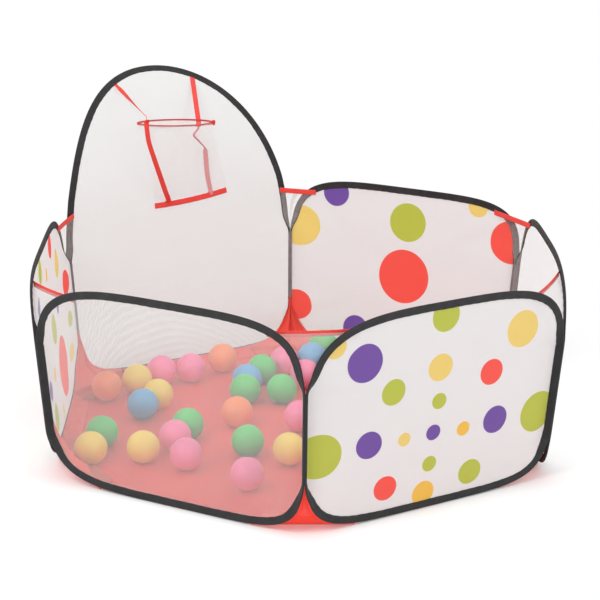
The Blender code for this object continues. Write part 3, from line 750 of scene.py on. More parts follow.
def give_thickness(piece, thickness):
    wall = piece.modifiers.new("thickness", "SOLIDIFY")
    wall.thickness = thickness
    wall.offset = 0
    wall.use_even_offset = False
    return settle(piece)


def triangles_in(piece):
    return sum(len(face.vertices) - 2 for face in piece.data.polygons)


# %% [markdown]
# ## Binding tape
# The tape is folded over the wire and over the cloth's edge, and sewn near its free edges. In section it is a drop:
# round where it wraps the wire, and flat where it holds the cloth. That section is carried round the loop. The
# tape can't lie flat where it goes round a corner, so its free edges are given small puckers there.

# %% Fold the tape round each loop
TAPE_STEPS = 480
WIRE_RADIUS = 0.001
WIRE_SIDES = 8
WRAP_TURNS = (0, 35, 70, 105)
TAPE_FLAT_SHARES = ((0.30, 0.80), (0.50, 0.69), (0.74, 0.66), (0.855, 0.60), (0.94, 0.68), (1.00, 0.60),
                    (1.02, 0.30))
BEND_STEPS = 8
FIRST_WOBBLE_RATE, SECOND_WOBBLE_RATE = 0.37, 0.61
STRAIGHT_PUCKER_SHARE = 0.25
EDGE_WOBBLE = 0.00035
PUCKER_HEIGHT = 0.00030
PUCKER_LENGTH = 0.017
STITCH_INSET = 0.0118
STITCH_LIFT_SHARE = 0.62


def tape_section():
    """The folded tape in section: distance in from its fold and lift off the cloth, round the section."""
    wrapped = [(TAPE_HALF * (1 - math.cos(math.radians(turn))), TAPE_HALF * math.sin(math.radians(turn)))
               for turn in WRAP_TURNS]
    flat = [(TAPE_WIDTH * inset, TAPE_HALF * lift) for inset, lift in TAPE_FLAT_SHARES]
    half = np.array(wrapped + flat)
    return np.vstack([half, half[:0:-1] * (1, -1)])


def corner_share(edge):
    """How near each point of a loop is to one of its rounded corners, from 0 to 1."""
    ahead = np.roll(edge, -BEND_STEPS, axis=0) - edge
    behind = edge - np.roll(edge, BEND_STEPS, axis=0)
    sideways = ahead[:, 0] * behind[:, 1] - ahead[:, 1] * behind[:, 0]
    bend = np.abs(np.arctan2(sideways, (ahead * behind).sum(1)))
    return np.clip(bend / bend.max(), 0, 1)


def tape_mesh(wall):
    edge, inwards, distance = loop_line(wall, TAPE_STEPS)
    section = tape_section()
    free_share = (section[:, 0] / TAPE_WIDTH) ** 3
    wave = FULL_TURN * distance[:-1, None] / PUCKER_LENGTH
    wobble = 1 + np.sin(wave * FIRST_WOBBLE_RATE + wall) * np.sin(wave * SECOND_WOBBLE_RATE)
    inset = section[:, 0] - free_share * EDGE_WOBBLE * wobble
    height = PUCKER_HEIGHT * (STRAIGHT_PUCKER_SHARE + corner_share(edge))
    pucker = height[:, None] * free_share * np.sin(wave)
    into, off = turned(inset, section[:, 1] + pucker, seam_turns(edge, inwards)[:, None])
    flat = edge[:, None] + inwards[:, None] * into[..., None]
    points = on_wall(wall, flat[..., 0], flat[..., 1], off)
    closed = np.vstack([section, section[:1]])
    around = np.r_[0, np.cumsum(np.linalg.norm(np.diff(closed, axis=0), axis=1))]
    flats = flat_places(distance, around)
    return face_out(grid_mesh("tape", points, flats, rows_close=True, columns_close=True))


def wire_mesh(wall):
    """The spring wire in the tape's fold, where the two ends are joined into one loop."""
    edge, inwards, distance = loop_line(wall, TAPE_STEPS)
    around = np.arange(WIRE_SIDES + 1) * FULL_TURN / WIRE_SIDES
    into = TAPE_HALF - np.cos(around[:-1]) * WIRE_RADIUS
    flat = edge[:, None] + inwards[:, None] * into[:, None]
    points = on_wall(wall, flat[..., 0], flat[..., 1], np.sin(around[:-1]) * WIRE_RADIUS)
    flats = flat_places(distance, around * WIRE_RADIUS)
    return face_out(grid_mesh("wire", points, flats, rows_close=True, columns_close=True))


bindings = {}
for wall, name in enumerate(WALL_NAMES):
    piece = make_piece(f"tape_{name}", tape_mesh(wall), black_tape)
    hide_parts(f"binding_{name}")
    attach(piece, f"wall_{name}")
    wire = make_piece(f"spring_{name}", wire_mesh(wall), spring_steel)
    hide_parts(f"wire_{name}")
    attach(wire, f"wall_{name}")
    bindings[name] = piece
print("tapes", sum(triangles_in(piece) for piece in bindings.values()), "triangles")

# %% [markdown]
# ## Stitches
# A sewing machine leaves a row of equal stitches, so Geometry Nodes suit them: a line is divided at the stitch
# pitch, and a small spindle of thread is set on each point, turned along the line. The tree ends by making the
# copies real. A second tree of the same build sets small hoops of thread on a line, for whipping an edge.

# %% Build the stitching trees
THREAD_SIDES = 5
SPINDLE_RINGS = 4
HOOP_SIDES = 9


def group_with_inputs(name, inputs):
    """A Geometry Nodes tree with named inputs, and its first and last nodes."""
    tree = bpy.data.node_groups.new(name, "GeometryNodeTree")
    tree.interface.new_socket("Geometry", in_out="INPUT", socket_type="NodeSocketGeometry")
    for label, kind in inputs:
        tree.interface.new_socket(label, in_out="INPUT", socket_type=kind)
    tree.interface.new_socket("Geometry", in_out="OUTPUT", socket_type="NodeSocketGeometry")
    return tree, tree.nodes.new("NodeGroupInput"), tree.nodes.new("NodeGroupOutput")


def spindle(tree, start):
    """One stitch: a ball of thread drawn out to the stitch's length."""
    sphere = put(tree, "GeometryNodeMeshUVSphere", {"Segments": THREAD_SIDES, "Rings": SPINDLE_RINGS,
                                                    "Radius": 1 / 2})
    size = put(tree, "ShaderNodeCombineXYZ", {"X": start.outputs["Thread"], "Y": start.outputs["Thread"],
                                              "Z": start.outputs["Length"]})
    return put(tree, "GeometryNodeTransform", {"Geometry": sphere.outputs["Mesh"], "Scale": size.outputs[0]})


def thread_hoop(tree, start):
    """One whip stitch: a hoop of thread round the edge that it holds."""
    hoop = put(tree, "GeometryNodeCurvePrimitiveCircle", {"Resolution": HOOP_SIDES,
                                                          "Radius": start.outputs["Length"]})
    half = math_node(tree, "MULTIPLY", start.outputs["Thread"], 1 / 2)
    section = put(tree, "GeometryNodeCurvePrimitiveCircle", {"Resolution": THREAD_SIDES, "Radius": half})
    return put(tree, "GeometryNodeCurveToMesh", {"Curve": hoop.outputs["Curve"],
                                                 "Profile Curve": section.outputs["Curve"]})


def stitching_tree(name, make_stitch):
    inputs = [("Pitch", "NodeSocketFloat"), ("Length", "NodeSocketFloat"), ("Thread", "NodeSocketFloat"),
              ("Finish", "NodeSocketMaterial")]
    tree, start, end = group_with_inputs(name, inputs)
    line = put(tree, "GeometryNodeMeshToCurve", {"Mesh": start.outputs["Geometry"]})
    spaced = put(tree, "GeometryNodeResampleCurve", {"Curve": line.outputs["Curve"],
                                                     "Length": start.outputs["Pitch"]}, mode="LENGTH")
    ahead = put(tree, "GeometryNodeInputTangent", {})
    facing = put(tree, "FunctionNodeAlignRotationToVector", {"Vector": ahead.outputs["Tangent"]}, axis="Z")
    stitch = make_stitch(tree, start)
    placed = put(tree, "GeometryNodeInstanceOnPoints", {"Points": spaced.outputs["Curve"],
                                                        "Instance": stitch.outputs[0],
                                                        "Rotation": facing.outputs["Rotation"]})
    real = put(tree, "GeometryNodeRealizeInstances", {"Geometry": placed.outputs["Instances"]})
    coloured = put(tree, "GeometryNodeSetMaterial", {"Geometry": real.outputs["Geometry"],
                                                     "Material": start.outputs["Finish"]})
    tree.links.new(coloured.outputs["Geometry"], end.inputs["Geometry"])
    return tree


stitch_rows = stitching_tree("stitch_rows", spindle)
whip_stitches = stitching_tree("whip_stitches", thread_hoop)


def grow(piece, tree, values):
    """Runs a Geometry Nodes tree with its named inputs on a piece, and leaves a plain mesh."""
    nodes = piece.modifiers.new("nodes", "NODES")
    nodes.node_group = tree
    for item in tree.interface.items_tree:
        if item.in_out == "INPUT" and item.name in values:
            nodes[item.identifier] = values[item.name]
    return settle(piece)


def sew(name, tree, lines, pitch, length, thread, finish):
    """Stitches along closed lines, as a plain mesh."""
    mesh = bpy.data.meshes.new(name)
    edges, first = [], 0
    for line in lines:
        edges += [(first + step, first + (step + 1) % len(line)) for step in range(len(line))]
        first += len(line)
    mesh.from_pydata(np.vstack(lines).tolist(), edges, [])
    values = {"Pitch": pitch, "Length": length, "Thread": thread, "Finish": finish}
    return grow(make_piece(name, mesh), tree, values)


print("trees", stitch_rows.name, whip_stitches.name)

# %% [markdown]
# ## The tapes' seams
# One row of stitches holds each tape, close to its free edge and on both of its sides. The row follows the loop a
# little inside the tape's edge and rides on the same wall, so that it moves with it.

# %% Sew the tapes
STITCH_PITCH = 0.0036
STITCH_LENGTH = 0.0027
THREAD_THICKNESS = 0.00055


def tape_seams(wall):
    edge, inwards, _ = loop_line(wall, TAPE_STEPS)
    rows = []
    for side in (1, -1):
        lift = side * TAPE_HALF * STITCH_LIFT_SHARE
        into, off = turned(np.full(len(edge), STITCH_INSET), lift, seam_turns(edge, inwards))
        flat = edge + inwards * into[:, None]
        rows.append(on_wall(wall, flat[:, 0], flat[:, 1], off))
    return rows


for wall, name in enumerate(WALL_NAMES):
    seam = sew(f"stitches_{name}", stitch_rows, tape_seams(wall), STITCH_PITCH, STITCH_LENGTH,
               THREAD_THICKNESS, thread_finish)
    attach(seam, f"wall_{name}")
print("stitches on one wall", triangles_in(seam), "triangles")

# %% [markdown]
# ## The walls' cloths
# Each cloth is stretched in its loop. It is not quite flat: it billows out a little in the middle, gathers softly
# along the tape, and faint folds run in from the rounded corners. Rows of points go from the foot to the top and
# narrow with the loop, so every row ends under the tape. A net is a single layer, and the printed cloth has a
# thickness.

# %% Stretch a cloth in each loop
CLOTH_ROWS = 84
CLOTH_COLUMNS = 110
LAST_ROW_SHARE = 0.9988
BILLOW = 0.0035
GATHER_HEIGHT = 0.0008
GATHER_LENGTH = 0.034
GATHER_REACH = 0.020
GATHER_STRETCH = 1.3
FOLD_HEIGHT = 0.0018
FOLD_RATE = 22
FOLD_SWIRL = 6
CORNER_REACH = 1.6
SLACK_HEIGHT = 0.0009
SLACK_WAVES = ((7, 3), (4, -6))
SETTLE_DEPTH = 0.08
CLOTH_THICKNESS = 0.0005
NET_WALLS = ("right", "hoop", "front_left")


def cloth_lift(wall, x, y):
    """How far the cloth stands off its middle surface, inwards. x and y run from -1 to 1 across the loop."""
    level = (np.abs(x) ** LOOP_EXPONENT + np.abs(y) ** LOOP_EXPONENT) ** (1 / LOOP_EXPONENT)
    inside = np.clip(1 - level, 0, 1) * WALL_WIDTH / 2
    past_tape = np.clip((inside - TAPE_WIDTH + CLOTH_INSET) / TAPE_WIDTH, 0, 1)
    billow = 0 if wall == TALL_WALL else -BILLOW * (1 - np.clip(level, 0, 1) ** 2)
    turn = np.arctan2(y, x)
    gathers = FULL_TURN * (turn * WALL_WIDTH / 2 * GATHER_STRETCH) / GATHER_LENGTH
    gather = GATHER_HEIGHT * np.exp(-inside / GATHER_REACH) * np.sin(gathers + wall)
    cornerwise = np.clip(np.abs(x * y) * CORNER_REACH, 0, 1) ** 2
    fold = FOLD_HEIGHT * cornerwise * np.sin(turn * FOLD_RATE + 2 * wall + FOLD_SWIRL * level)
    first, second = (x * rate_x + y * rate_y for rate_x, rate_y in SLACK_WAVES)
    slack = SLACK_HEIGHT * np.sin(first + wall) * np.cos(second + 2 * wall)
    return past_tape * (billow + gather + (fold + slack) * np.minimum(inside / SETTLE_DEPTH, 1))


def cloth_grid(wall):
    """Flat places of a cloth's points, and their shares of the loop's half sizes."""
    sides = [side_of(wall, towards, CLOTH_INSET) for towards in (-1, 1)]
    low, high = max(heights[0] for heights, _ in sides), min(heights[-1] for heights, _ in sides)
    widest = LOOP_FOOT + (high - LOOP_FOOT) * (TALL_WIDEST_SHARE if wall == TALL_WALL else 1 / 2)
    share = LAST_ROW_SHARE * np.sin(np.linspace(-math.pi / 2, math.pi / 2, CLOTH_ROWS))
    lengths = np.where(share > 0, widest + share * (high - widest), widest + share * (widest - low))
    second, first = (np.interp(lengths, heights, reach)[:, None] for heights, reach in sides)
    across = np.linspace(0, 1, CLOTH_COLUMNS)
    along, up = first * across - second * (1 - across), np.repeat(lengths[:, None], CLOTH_COLUMNS, 1)
    flat = np.stack([along, up], -1)
    shares = np.stack([along / sides[0][1].max(), np.repeat(share[:, None], CLOTH_COLUMNS, 1)], -1)
    return flat, shares


def cloth_mesh(wall):
    flat, shares = cloth_grid(wall)
    lift = cloth_lift(wall, shares[..., 0], shares[..., 1])
    return grid_mesh("cloth", by_loop(wall, flat, lift), flat)


for wall, name in enumerate(WALL_NAMES):
    netted = name in NET_WALLS
    net = close_net if wall == TALL_WALL else white_net
    piece = make_piece(f"panel_{name}", cloth_mesh(wall), net if netted else dotted_cloths[name])
    if not netted:
        give_thickness(piece, CLOTH_THICKNESS)
    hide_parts(f"cloth_{name}")
    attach(piece, f"wall_{name}")

# %% [markdown]
# ## Corners
# Two loops meet along the straight parts of their sides only. Above, where their shoulders round away from each
# other, a gore of net fills the notch and a red tape closes it. Below, a red gusset fills the space between the
# rounded feet. Each is made across its corner from points on both loops, so it joins them whatever their shape.

# %% Points across a corner
SEAM_TOP = 0.250
SEAM_FOOT = 0.115
TAPE_LIFT = 0.0017
LEFT_LOOP, RIGHT_LOOP = -1, 0


def beside_corner(corner, loop, along, length, lift):
    """Points off the inner side of one of the two loops at a corner, measured along it towards the corner."""
    wall = (corner + loop) % WALL_COUNT
    towards = 1 if loop == RIGHT_LOOP else -1
    along, length = np.broadcast_arrays(towards * np.asarray(along, float), np.asarray(length, float))
    return by_loop(wall, np.stack([along, length], -1), lift)


def loop_side(corner, loop, lengths, inset, lift):
    """The points at some lengths up one of the loops at a corner."""
    along = np.interp(lengths, *side_at_corner(corner, loop, inset))
    return beside_corner(corner, loop, along, lengths, lift)


def side_at_corner(corner, loop, inset):
    return side_of((corner + loop) % WALL_COUNT, 1 if loop == RIGHT_LOOP else -1, inset)


def corner_out(corner):
    """The level direction from the pit's middle out through a corner."""
    turn = corner * WALL_TURN - math.pi / 2
    return np.array([math.cos(turn), math.sin(turn), 0])


def across(left, right, count):
    """A grid between two lines of points."""
    share = np.linspace(0, 1, count)[None, :, None]
    return left[:, None] * (1 - share) + right[:, None] * share


def walk(points):
    """The distance along a line of points."""
    return np.r_[0, np.cumsum(np.linalg.norm(np.diff(points, axis=0), axis=1))]


def flats_of(grid):
    """Flat places of a grid of points, from the real distances along its rows and down its middle."""
    middle = walk(grid[:, grid.shape[1] // 2])
    widths = np.array([walk(row) for row in grid])
    widths -= widths[:, -1:] / 2
    return np.stack([widths, np.repeat(middle[:, None], grid.shape[1], 1)], -1)


OPEN_CORNER = CORNER_NAMES.index("back")


def corner_pair(corner, kind):
    """The names of the bodies or tapes of the two walls at a corner."""
    return [f"{kind}_{WALL_NAMES[(corner + loop) % WALL_COUNT]}" for loop in (LEFT_LOOP, RIGHT_LOOP)]


def join_corner(piece):
    """Bakes a corner piece's placement into its mesh."""
    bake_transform(piece)


print("corners", ", ".join(CORNER_NAMES))

# %% [markdown]
# ## Net gores and their red tapes
# The gore's net is slack, so it curves outwards a little between the loops. The red tape is folded over its top
# edge and sewn flat on both tapes. Below the gore a narrow grey binding covers the two tapes' free edges. At the
# back corner the CAD model is open, so that the ring of walls can flex. There the net and its tape are made in two
# halves that overlap a little, and each half rides on its own wall.

# %% Make the gores
GORE_ROWS = 26
GORE_COLUMNS = 25
GORE_BULGE = 0.0045
GORE_SLACK_FROM = 0.08
GORE_SLACK_POWER = 1.5
RIPPLE_HEIGHT = 0.0006
RIPPLES_ACROSS = 19
RIPPLES_UP = 90
TRIM_BOW_SHARE = 0.7
SEAM_COVER_FOOT = 0.105
SEAM_COVER_COLUMNS = 9
SEAM_COVER_INSET = 0.0146
SEAM_COVER_LAP = 0.0010
SEAM_OVERLAP = 0.004
GORE_EDGE_INSET = 0.0135
LAP_SHARE = 0.06
LAP_LIFT = 0.0008
TRIM_DROP = 0.026
# Drop of the trim's left and right end below the loops' tops, where they differ from the others
TRIM_DROPS = {"back": (0.034, 0.033), "left_back": (0.030, 0.035)}
TRIM_WIDTH = 0.0105
TRIM_HALF = 0.0009
TRIM_STEPS = 40
TRIM_SAG = 0.0012
TRIM_SECTION_SHARES = ((-1, 0), (-0.94, 0.75), (-0.6, 1), (0, 0.9), (0.6, 1), (0.94, 0.75))


def trim_drops(corner):
    return TRIM_DROPS.get(CORNER_NAMES[corner], (TRIM_DROP, TRIM_DROP))


def gore_points(corner):
    share = np.linspace(0, 1, GORE_COLUMNS)[None]
    sides = []
    for loop, drop in zip((LEFT_LOOP, RIGHT_LOOP), trim_drops(corner)):
        lengths = np.linspace(SEAM_TOP - SEAM_OVERLAP, SHORT_LENGTH - drop, GORE_ROWS)
        sides.append(loop_side(corner, loop, lengths, GORE_EDGE_INSET, TAPE_LIFT))
    grid = across(*sides, GORE_COLUMNS)
    gap = np.linalg.norm(sides[1] - sides[0], axis=1)[:, None]
    slack = np.clip(gap / GORE_SLACK_FROM, 0, 1) ** GORE_SLACK_POWER
    ripple = RIPPLE_HEIGHT * np.sin(share * RIPPLES_ACROSS + grid[..., 2] * RIPPLES_UP + corner)
    bulge = (GORE_BULGE * 4 * share * (1 - share) + ripple * np.sin(math.pi * share)) * slack
    return grid + bulge[..., None] * corner_out(corner)


def seam_cover_points(corner):
    """A narrow grey binding over the two tapes' free edges, from the gusset up to the gore."""
    lengths = np.linspace(SEAM_COVER_FOOT, SEAM_TOP, GORE_ROWS)
    sides = [loop_side(corner, loop, lengths, SEAM_COVER_INSET, -SEAM_COVER_LAP)
             for loop in (LEFT_LOOP, RIGHT_LOOP)]
    return across(*sides, SEAM_COVER_COLUMNS)


def trim_points(corner):
    """A folded tape across the gore's top: a row of points round its section at each step."""
    half = np.array(TRIM_SECTION_SHARES)
    section = np.vstack([half, [[1, 0]], half[:0:-1] * (1, -1)])
    ends = []
    for loop, drop in zip((LEFT_LOOP, RIGHT_LOOP), trim_drops(corner)):
        lengths = SHORT_LENGTH - drop + section[:, 0] * TRIM_WIDTH / 2
        lift = TAPE_LIFT + TRIM_HALF + section[:, 1] * TRIM_HALF
        middle = np.interp(SHORT_LENGTH - drop, *side_at_corner(corner, loop, GORE_EDGE_INSET))
        ends.append(beside_corner(corner, loop, np.full(len(section), middle), lengths, lift))
    grid = across(ends[0], ends[1], TRIM_STEPS)
    share = np.linspace(0, 1, TRIM_STEPS)[None, :, None]
    sag = np.array([0, 0, -TRIM_SAG]) * 4 * share * (1 - share)
    bow = GORE_BULGE * TRIM_BOW_SHARE * 4 * share * (1 - share) * corner_out(corner)
    return (grid + sag + bow).transpose(1, 0, 2)


def tube_mesh(name, rings):
    """A closed tube from rings of points, with both its ends filled."""
    flats = flat_places(walk(rings[:, 0]), walk(np.vstack([rings[0], rings[0, :1]])))
    mesh = grid_mesh(name, rings, flats, columns_close=True)
    shape = bmesh.new()
    shape.from_mesh(mesh)
    bmesh.ops.holes_fill(shape, edges=[edge for edge in shape.edges if edge.is_boundary])
    shape.to_mesh(mesh)
    shape.free()
    return face_out(mesh)


def halves(grid, axis):
    """A grid in two halves that overlap at its middle, the second a little further out there."""
    count = grid.shape[axis]
    middle, lap = count // 2, max(1, round(count * LAP_SHARE))
    lifted = grid + LAP_LIFT * corner_out(OPEN_CORNER)
    return np.take(grid, range(middle + lap + 1), axis), np.take(lifted, range(middle - lap, count), axis)


def place_corner_piece(name, corner, grid, axis, build, finish, node, narrow=False):
    """Makes a piece across a corner: one piece between its walls, or two halves at the open corner.

    A narrow piece stays whole there and rides on one wall."""
    bodies = corner_pair(corner, "wall")
    if corner != OPEN_CORNER:
        made = [(make_piece(name, build(grid), finish), None)]
    elif narrow:
        made = [(make_piece(name, build(grid), finish), bodies[1])]
    else:
        made = [(make_piece(f"{name}_{side}", build(part), finish), body)
                for part, body, side in zip(halves(grid, axis), bodies, ("left", "right"))]
    for piece, body in made:
        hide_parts(node)
        if finish in (gusset_cloth, painted_glow_gusset_cloth, seam_grey):
            give_thickness(piece, CLOTH_THICKNESS)
        if body:
            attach(piece, body)
        else:
            join_corner(piece)
    return [piece for piece, _ in made]


def parts_of(grid, pieces):
    """The grids of the pieces made across a corner: one, or two halves."""
    return [grid] if len(pieces) == 1 else halves(grid, 1)


def sheet_from(grid):
    return grid_mesh("sheet", grid, flats_of(grid))


def trim_from(grid):
    return tube_mesh("trim", grid)


for corner, name in enumerate(CORNER_NAMES):
    grid, node = gore_points(corner), f"gore_{name}"
    trims = place_corner_piece(f"trim_{name}", corner, trim_points(corner), 0, trim_from, red_tape,
                               node)
    nets = place_corner_piece(f"net_{name}", corner, grid, 1, sheet_from, white_net, node)
    place_corner_piece(f"seam_cover_{name}", corner, seam_cover_points(corner), 1, sheet_from, seam_grey,
                       node, narrow=True)
    for net, trim, part in zip(nets, trims, parts_of(grid, nets)):
        flats_of(part)
print("gores and trims at", len(CORNER_NAMES), "corners")

# %% [markdown]
# ## Seams
# Below the gores the two tapes are oversewn fold to fold. A narrow black band closes the gap between the folds, so
# no light comes through. It is stretched from one loop to the other like the gores.

# %% Close the seams
SEAM_BAND_INSET = 0.0011
SEAM_BAND_THICKNESS = 0.0014
SEAM_BAND_FOOT = 0.094
SEAM_BAND_TOP = 0.256
SEAM_BAND_ROWS = 60
SEAM_BAND_COLUMNS = 5
SEAM_BAND_WAVE = 0.0002
SEAM_BAND_PITCH = 0.0052


def seam_points(corner):
    lengths = np.linspace(SEAM_BAND_FOOT, SEAM_BAND_TOP, SEAM_BAND_ROWS)
    wave = SEAM_BAND_WAVE * np.sin(FULL_TURN * lengths / SEAM_BAND_PITCH)
    sides = [loop_side(corner, loop, lengths, SEAM_BAND_INSET, wave) for loop in (LEFT_LOOP, RIGHT_LOOP)]
    return across(*sides, SEAM_BAND_COLUMNS)


for corner, name in enumerate(CORNER_NAMES):
    lines = seam_points(corner)
    band = give_thickness(make_piece(f"seam_band_{name}", sheet_from(lines), black_tape), SEAM_BAND_THICKNESS)
    if corner == OPEN_CORNER:
        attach(band, corner_pair(corner, "wall")[1])
    else:
        join_corner(band)
print("seams closed at", len(CORNER_NAMES), "corners")

# %% [markdown]
# ## Red gussets
# A gusset starts on the floor, where it lies a little way over the floor sheet's cut corner, and climbs between the
# loops' rounded feet. There is more cloth than the space needs, so it falls into upright folds that are deep at the
# floor and close up towards the seam. Sine waves across the cloth, fading with height, give such folds. The gussets'
# red is painted lighter than the floor's, as painted light against the shade they stand in. The front gusset is seen
# from outside with the light behind it, and gets a painted glow: its cloth emits a little of its own red.

# %% Make the gussets
CORNER_CUT = 0.100
GUSSET_TOP = 0.118
GUSSET_ROWS = 36
GUSSET_COLUMNS = 61
GUSSET_TUCK = 0.007
GUSSET_FOLDS = 3
GUSSET_FOLD_HEIGHT = 0.0075
GUSSET_FOOT_LIFT = 0.0009
GUSSET_TONGUE = 0.042
GUSSET_TONGUE_LIFT = 0.0016
GUSSET_INSETS = (0.0125, 0.0152, 0.0158, 0.0130)
GUSSET_INSET_SHARES = (0, 0.12, 0.85, 1)
PAINTED_GLOW_CORNER = "front"
TUCK_CLIMB = 1.1
FOLD_SHIFT, FOLD_SHIFT_RATE = 0.02, 9
FOLD_LEVEL, FOLD_SHARPNESS = 0.35, 0.8
FADE_ACROSS_POWER, FADE_UP_POWER, FADE_FOOT_RATE = 0.7, 0.8, 5
LINE_MARGIN = 0.01


def foot_line(corner, loop, count):
    """Points from the floor under a loop's rounded foot, up along the loop to the seam."""
    towards = 1 if loop == RIGHT_LOOP else -1
    edge, inwards, _ = LOOP_LINES[(corner + loop) % WALL_COUNT]
    edge, inwards = edge * (towards, 1), inwards * (towards, 1)
    rising = (edge[:, 0] > 0) & (edge[:, 1] < GUSSET_TOP + LINE_MARGIN)
    edge, inwards = edge[rising], inwards[rising]
    order = np.argsort(edge[:, 1])
    share = np.clip(edge[order, 1] / GUSSET_TOP, 0, 1)
    line = edge[order] + inwards[order] * np.interp(share, GUSSET_INSET_SHARES, GUSSET_INSETS)[:, None]
    foot = WALL_WIDTH / 2 - CORNER_CUT
    line = line[(line[:, 0] > foot) & (line[:, 1] < GUSSET_TOP)]
    line = np.vstack([[foot, GUSSET_FOOT_LIFT], line])
    distance = walk(line)
    wanted = np.linspace(0, distance[-1], count)
    flat = [np.interp(wanted, distance, line[:, axis]) for axis in (0, 1)]
    return beside_corner(corner, loop, flat[0], flat[1], TAPE_LIFT)


def gusset_points(corner):
    left, right = (foot_line(corner, loop, GUSSET_ROWS) for loop in (LEFT_LOOP, RIGHT_LOOP))
    grid = across(left, right, GUSSET_COLUMNS)
    share = np.linspace(0, 1, GUSSET_COLUMNS)[None]
    climb = np.linspace(0, 1, GUSSET_ROWS)[:, None]
    rise = np.sin(math.pi * np.minimum(climb * TUCK_CLIMB, 1))
    tuck = GUSSET_TUCK * np.sin(math.pi * share) ** 2 * rise
    uneven = FOLD_SHIFT * np.sin(FOLD_SHIFT_RATE * share + corner)
    wave = np.cos(FULL_TURN * GUSSET_FOLDS * (share - 1 / 2 + uneven))
    sharp = FOLD_LEVEL - np.abs(wave) ** FOLD_SHARPNESS * np.sign(wave)
    fade = (np.sin(math.pi * share) ** FADE_ACROSS_POWER * (1 - climb ** 2) ** FADE_UP_POWER
            * np.minimum(climb * FADE_FOOT_RATE, 1))
    fold = GUSSET_FOLD_HEIGHT * sharp * fade
    grid[..., 2] = np.maximum(grid[..., 2], GUSSET_FOOT_LIFT)
    grid = grid - (tuck + fold)[..., None] * corner_out(corner)
    foot, lift = np.array([WALL_WIDTH / 2 - CORNER_CUT]), np.array([GUSSET_TONGUE_LIFT])
    ends = [beside_corner(corner, loop, foot, lift, GUSSET_TONGUE) for loop in (LEFT_LOOP, RIGHT_LOOP)]
    return np.concatenate([across(*ends, GUSSET_COLUMNS), grid])


for corner, name in enumerate(CORNER_NAMES):
    grid = gusset_points(corner)
    # The painted glow goes on the front gusset only.
    cloth = painted_glow_gusset_cloth if name == PAINTED_GLOW_CORNER else gusset_cloth
    gussets = place_corner_piece(f"foot_{name}", corner, grid, 1, sheet_from, cloth,
                                 f"gusset_{name}")
    for gusset, part in zip(gussets, parts_of(grid, gussets)):
        flats_of(part)
print("gussets with", GUSSET_FOLDS, "folds each")

# %% [markdown]
# ## Balls
# A blown ball is a sphere with the trace of its mould: a thin ridge where the two halves met, and a small round
# mark at one pole where the air went in. The ridge and the mark are in the shape. Each ball is turned by its own
# seeded amount, as balls lie anyhow, and sits exactly where its CAD ball is.

# %% Make the balls
BALL_RADIUS = 0.030
BALL_AROUND = 56
BALL_RINGS = 36
RIDGE_HEIGHT = 0.00018
RIDGE_WIDTH_SHARE = 0.028
MARK_DEPTH = 0.0004
MARK_WIDTH_SHARE = 0.11
dice = np.random.default_rng(26)


def ball_mesh(turning):
    up = np.linspace(-math.pi / 2, math.pi / 2, BALL_RINGS + 1)
    up = np.sort(np.r_[up, np.array([-1, 1, -2, 2]) * RIDGE_WIDTH_SHARE])
    around = np.arange(BALL_AROUND) * FULL_TURN / BALL_AROUND
    ridge = RIDGE_HEIGHT * np.exp(-(up / RIDGE_WIDTH_SHARE) ** 2)
    mark = MARK_DEPTH * np.exp(-((math.pi / 2 - up) / MARK_WIDTH_SHARE) ** 4)
    radius = (BALL_RADIUS - RIDGE_HEIGHT + ridge - mark)[:, None]
    flat = np.cos(up)[:, None]
    points = np.stack([radius * flat * np.cos(around), radius * flat * np.sin(around),
                       np.repeat(radius * np.sin(up)[:, None], BALL_AROUND, 1)], -1)
    places = BALL_RADIUS * flat_places(up, np.r_[around, FULL_TURN])
    return face_out(grid_mesh("ball", points @ np.array(turning), places, columns_close=True))


ball_colours = {row["node"]: row["material_slot"] for row in frame["record"]["subparts"]
                if row["node"].startswith("ball_")}
ball_middles = []
for node, slot_name in sorted(ball_colours.items()):
    low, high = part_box(node)
    middle = (low + high) / 2
    ball_middles.append(tuple(middle))
    turning = Matrix.Rotation(dice.uniform(0, FULL_TURN), 3, dice.normal(size=3))
    mesh = ball_mesh(turning)
    mesh.transform(Matrix.Translation(middle))
    plastic = ball_plastics[slot_name.removeprefix("ball_")]
    piece = make_piece(node.replace("ball", "play_ball"), mesh, plastic)
    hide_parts(node)
    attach(piece, node)
print("balls", len(ball_middles), "each", triangles_in(piece), "triangles")

# %% [markdown]
# ## Floor sheet
# The floor is thin red cloth on hard ground. It never lies quite flat: low folds run across it, mostly from the
# corners. A fold can't lift a ball, so the height of the cloth is kept just under the nearest ball's own surface.
# Rings of points from the middle out to the six cut corners make an even mesh.

# %% Lay the floor sheet
FLOOR_EDGE = -0.0010
FLOOR_PULL = 0.012
FLOOR_PULL_ALONG = (0.02, 0.15)
FLOOR_EDGE_POINTS = 15
FLOOR_REACH = 0.014
FLOOR_RINGS = 60
FLOOR_AROUND = 168
FLOOR_TOP = 0.0006
FLOOR_THICKNESS = 0.0006
FLOOR_FOLD = 0.0032
FOLD_BASE, LONG_FOLD_SHARE, CORNER_FOLD_SHARE, FOLD_POWER = 0.25, 0.5, 0.45, 1.4
FIRST_FOLDS, FIRST_BEND, FIRST_BEND_RATE = (9, 23), 2.2, 7
SECOND_FOLDS, SECOND_START = (17, -6), 1.3
CORNER_FOLDS, CORNER_FOLD_SWIRL = 18, 9
FLOOR_RING_POWER = 0.8
FLAT_FROM_SHARE = 0.83
FOLD_FADE = 0.06
BALL_CLEARANCE = 0.0003
NO_BALL = 1.0
balls_on_floor = np.array(ball_middles)


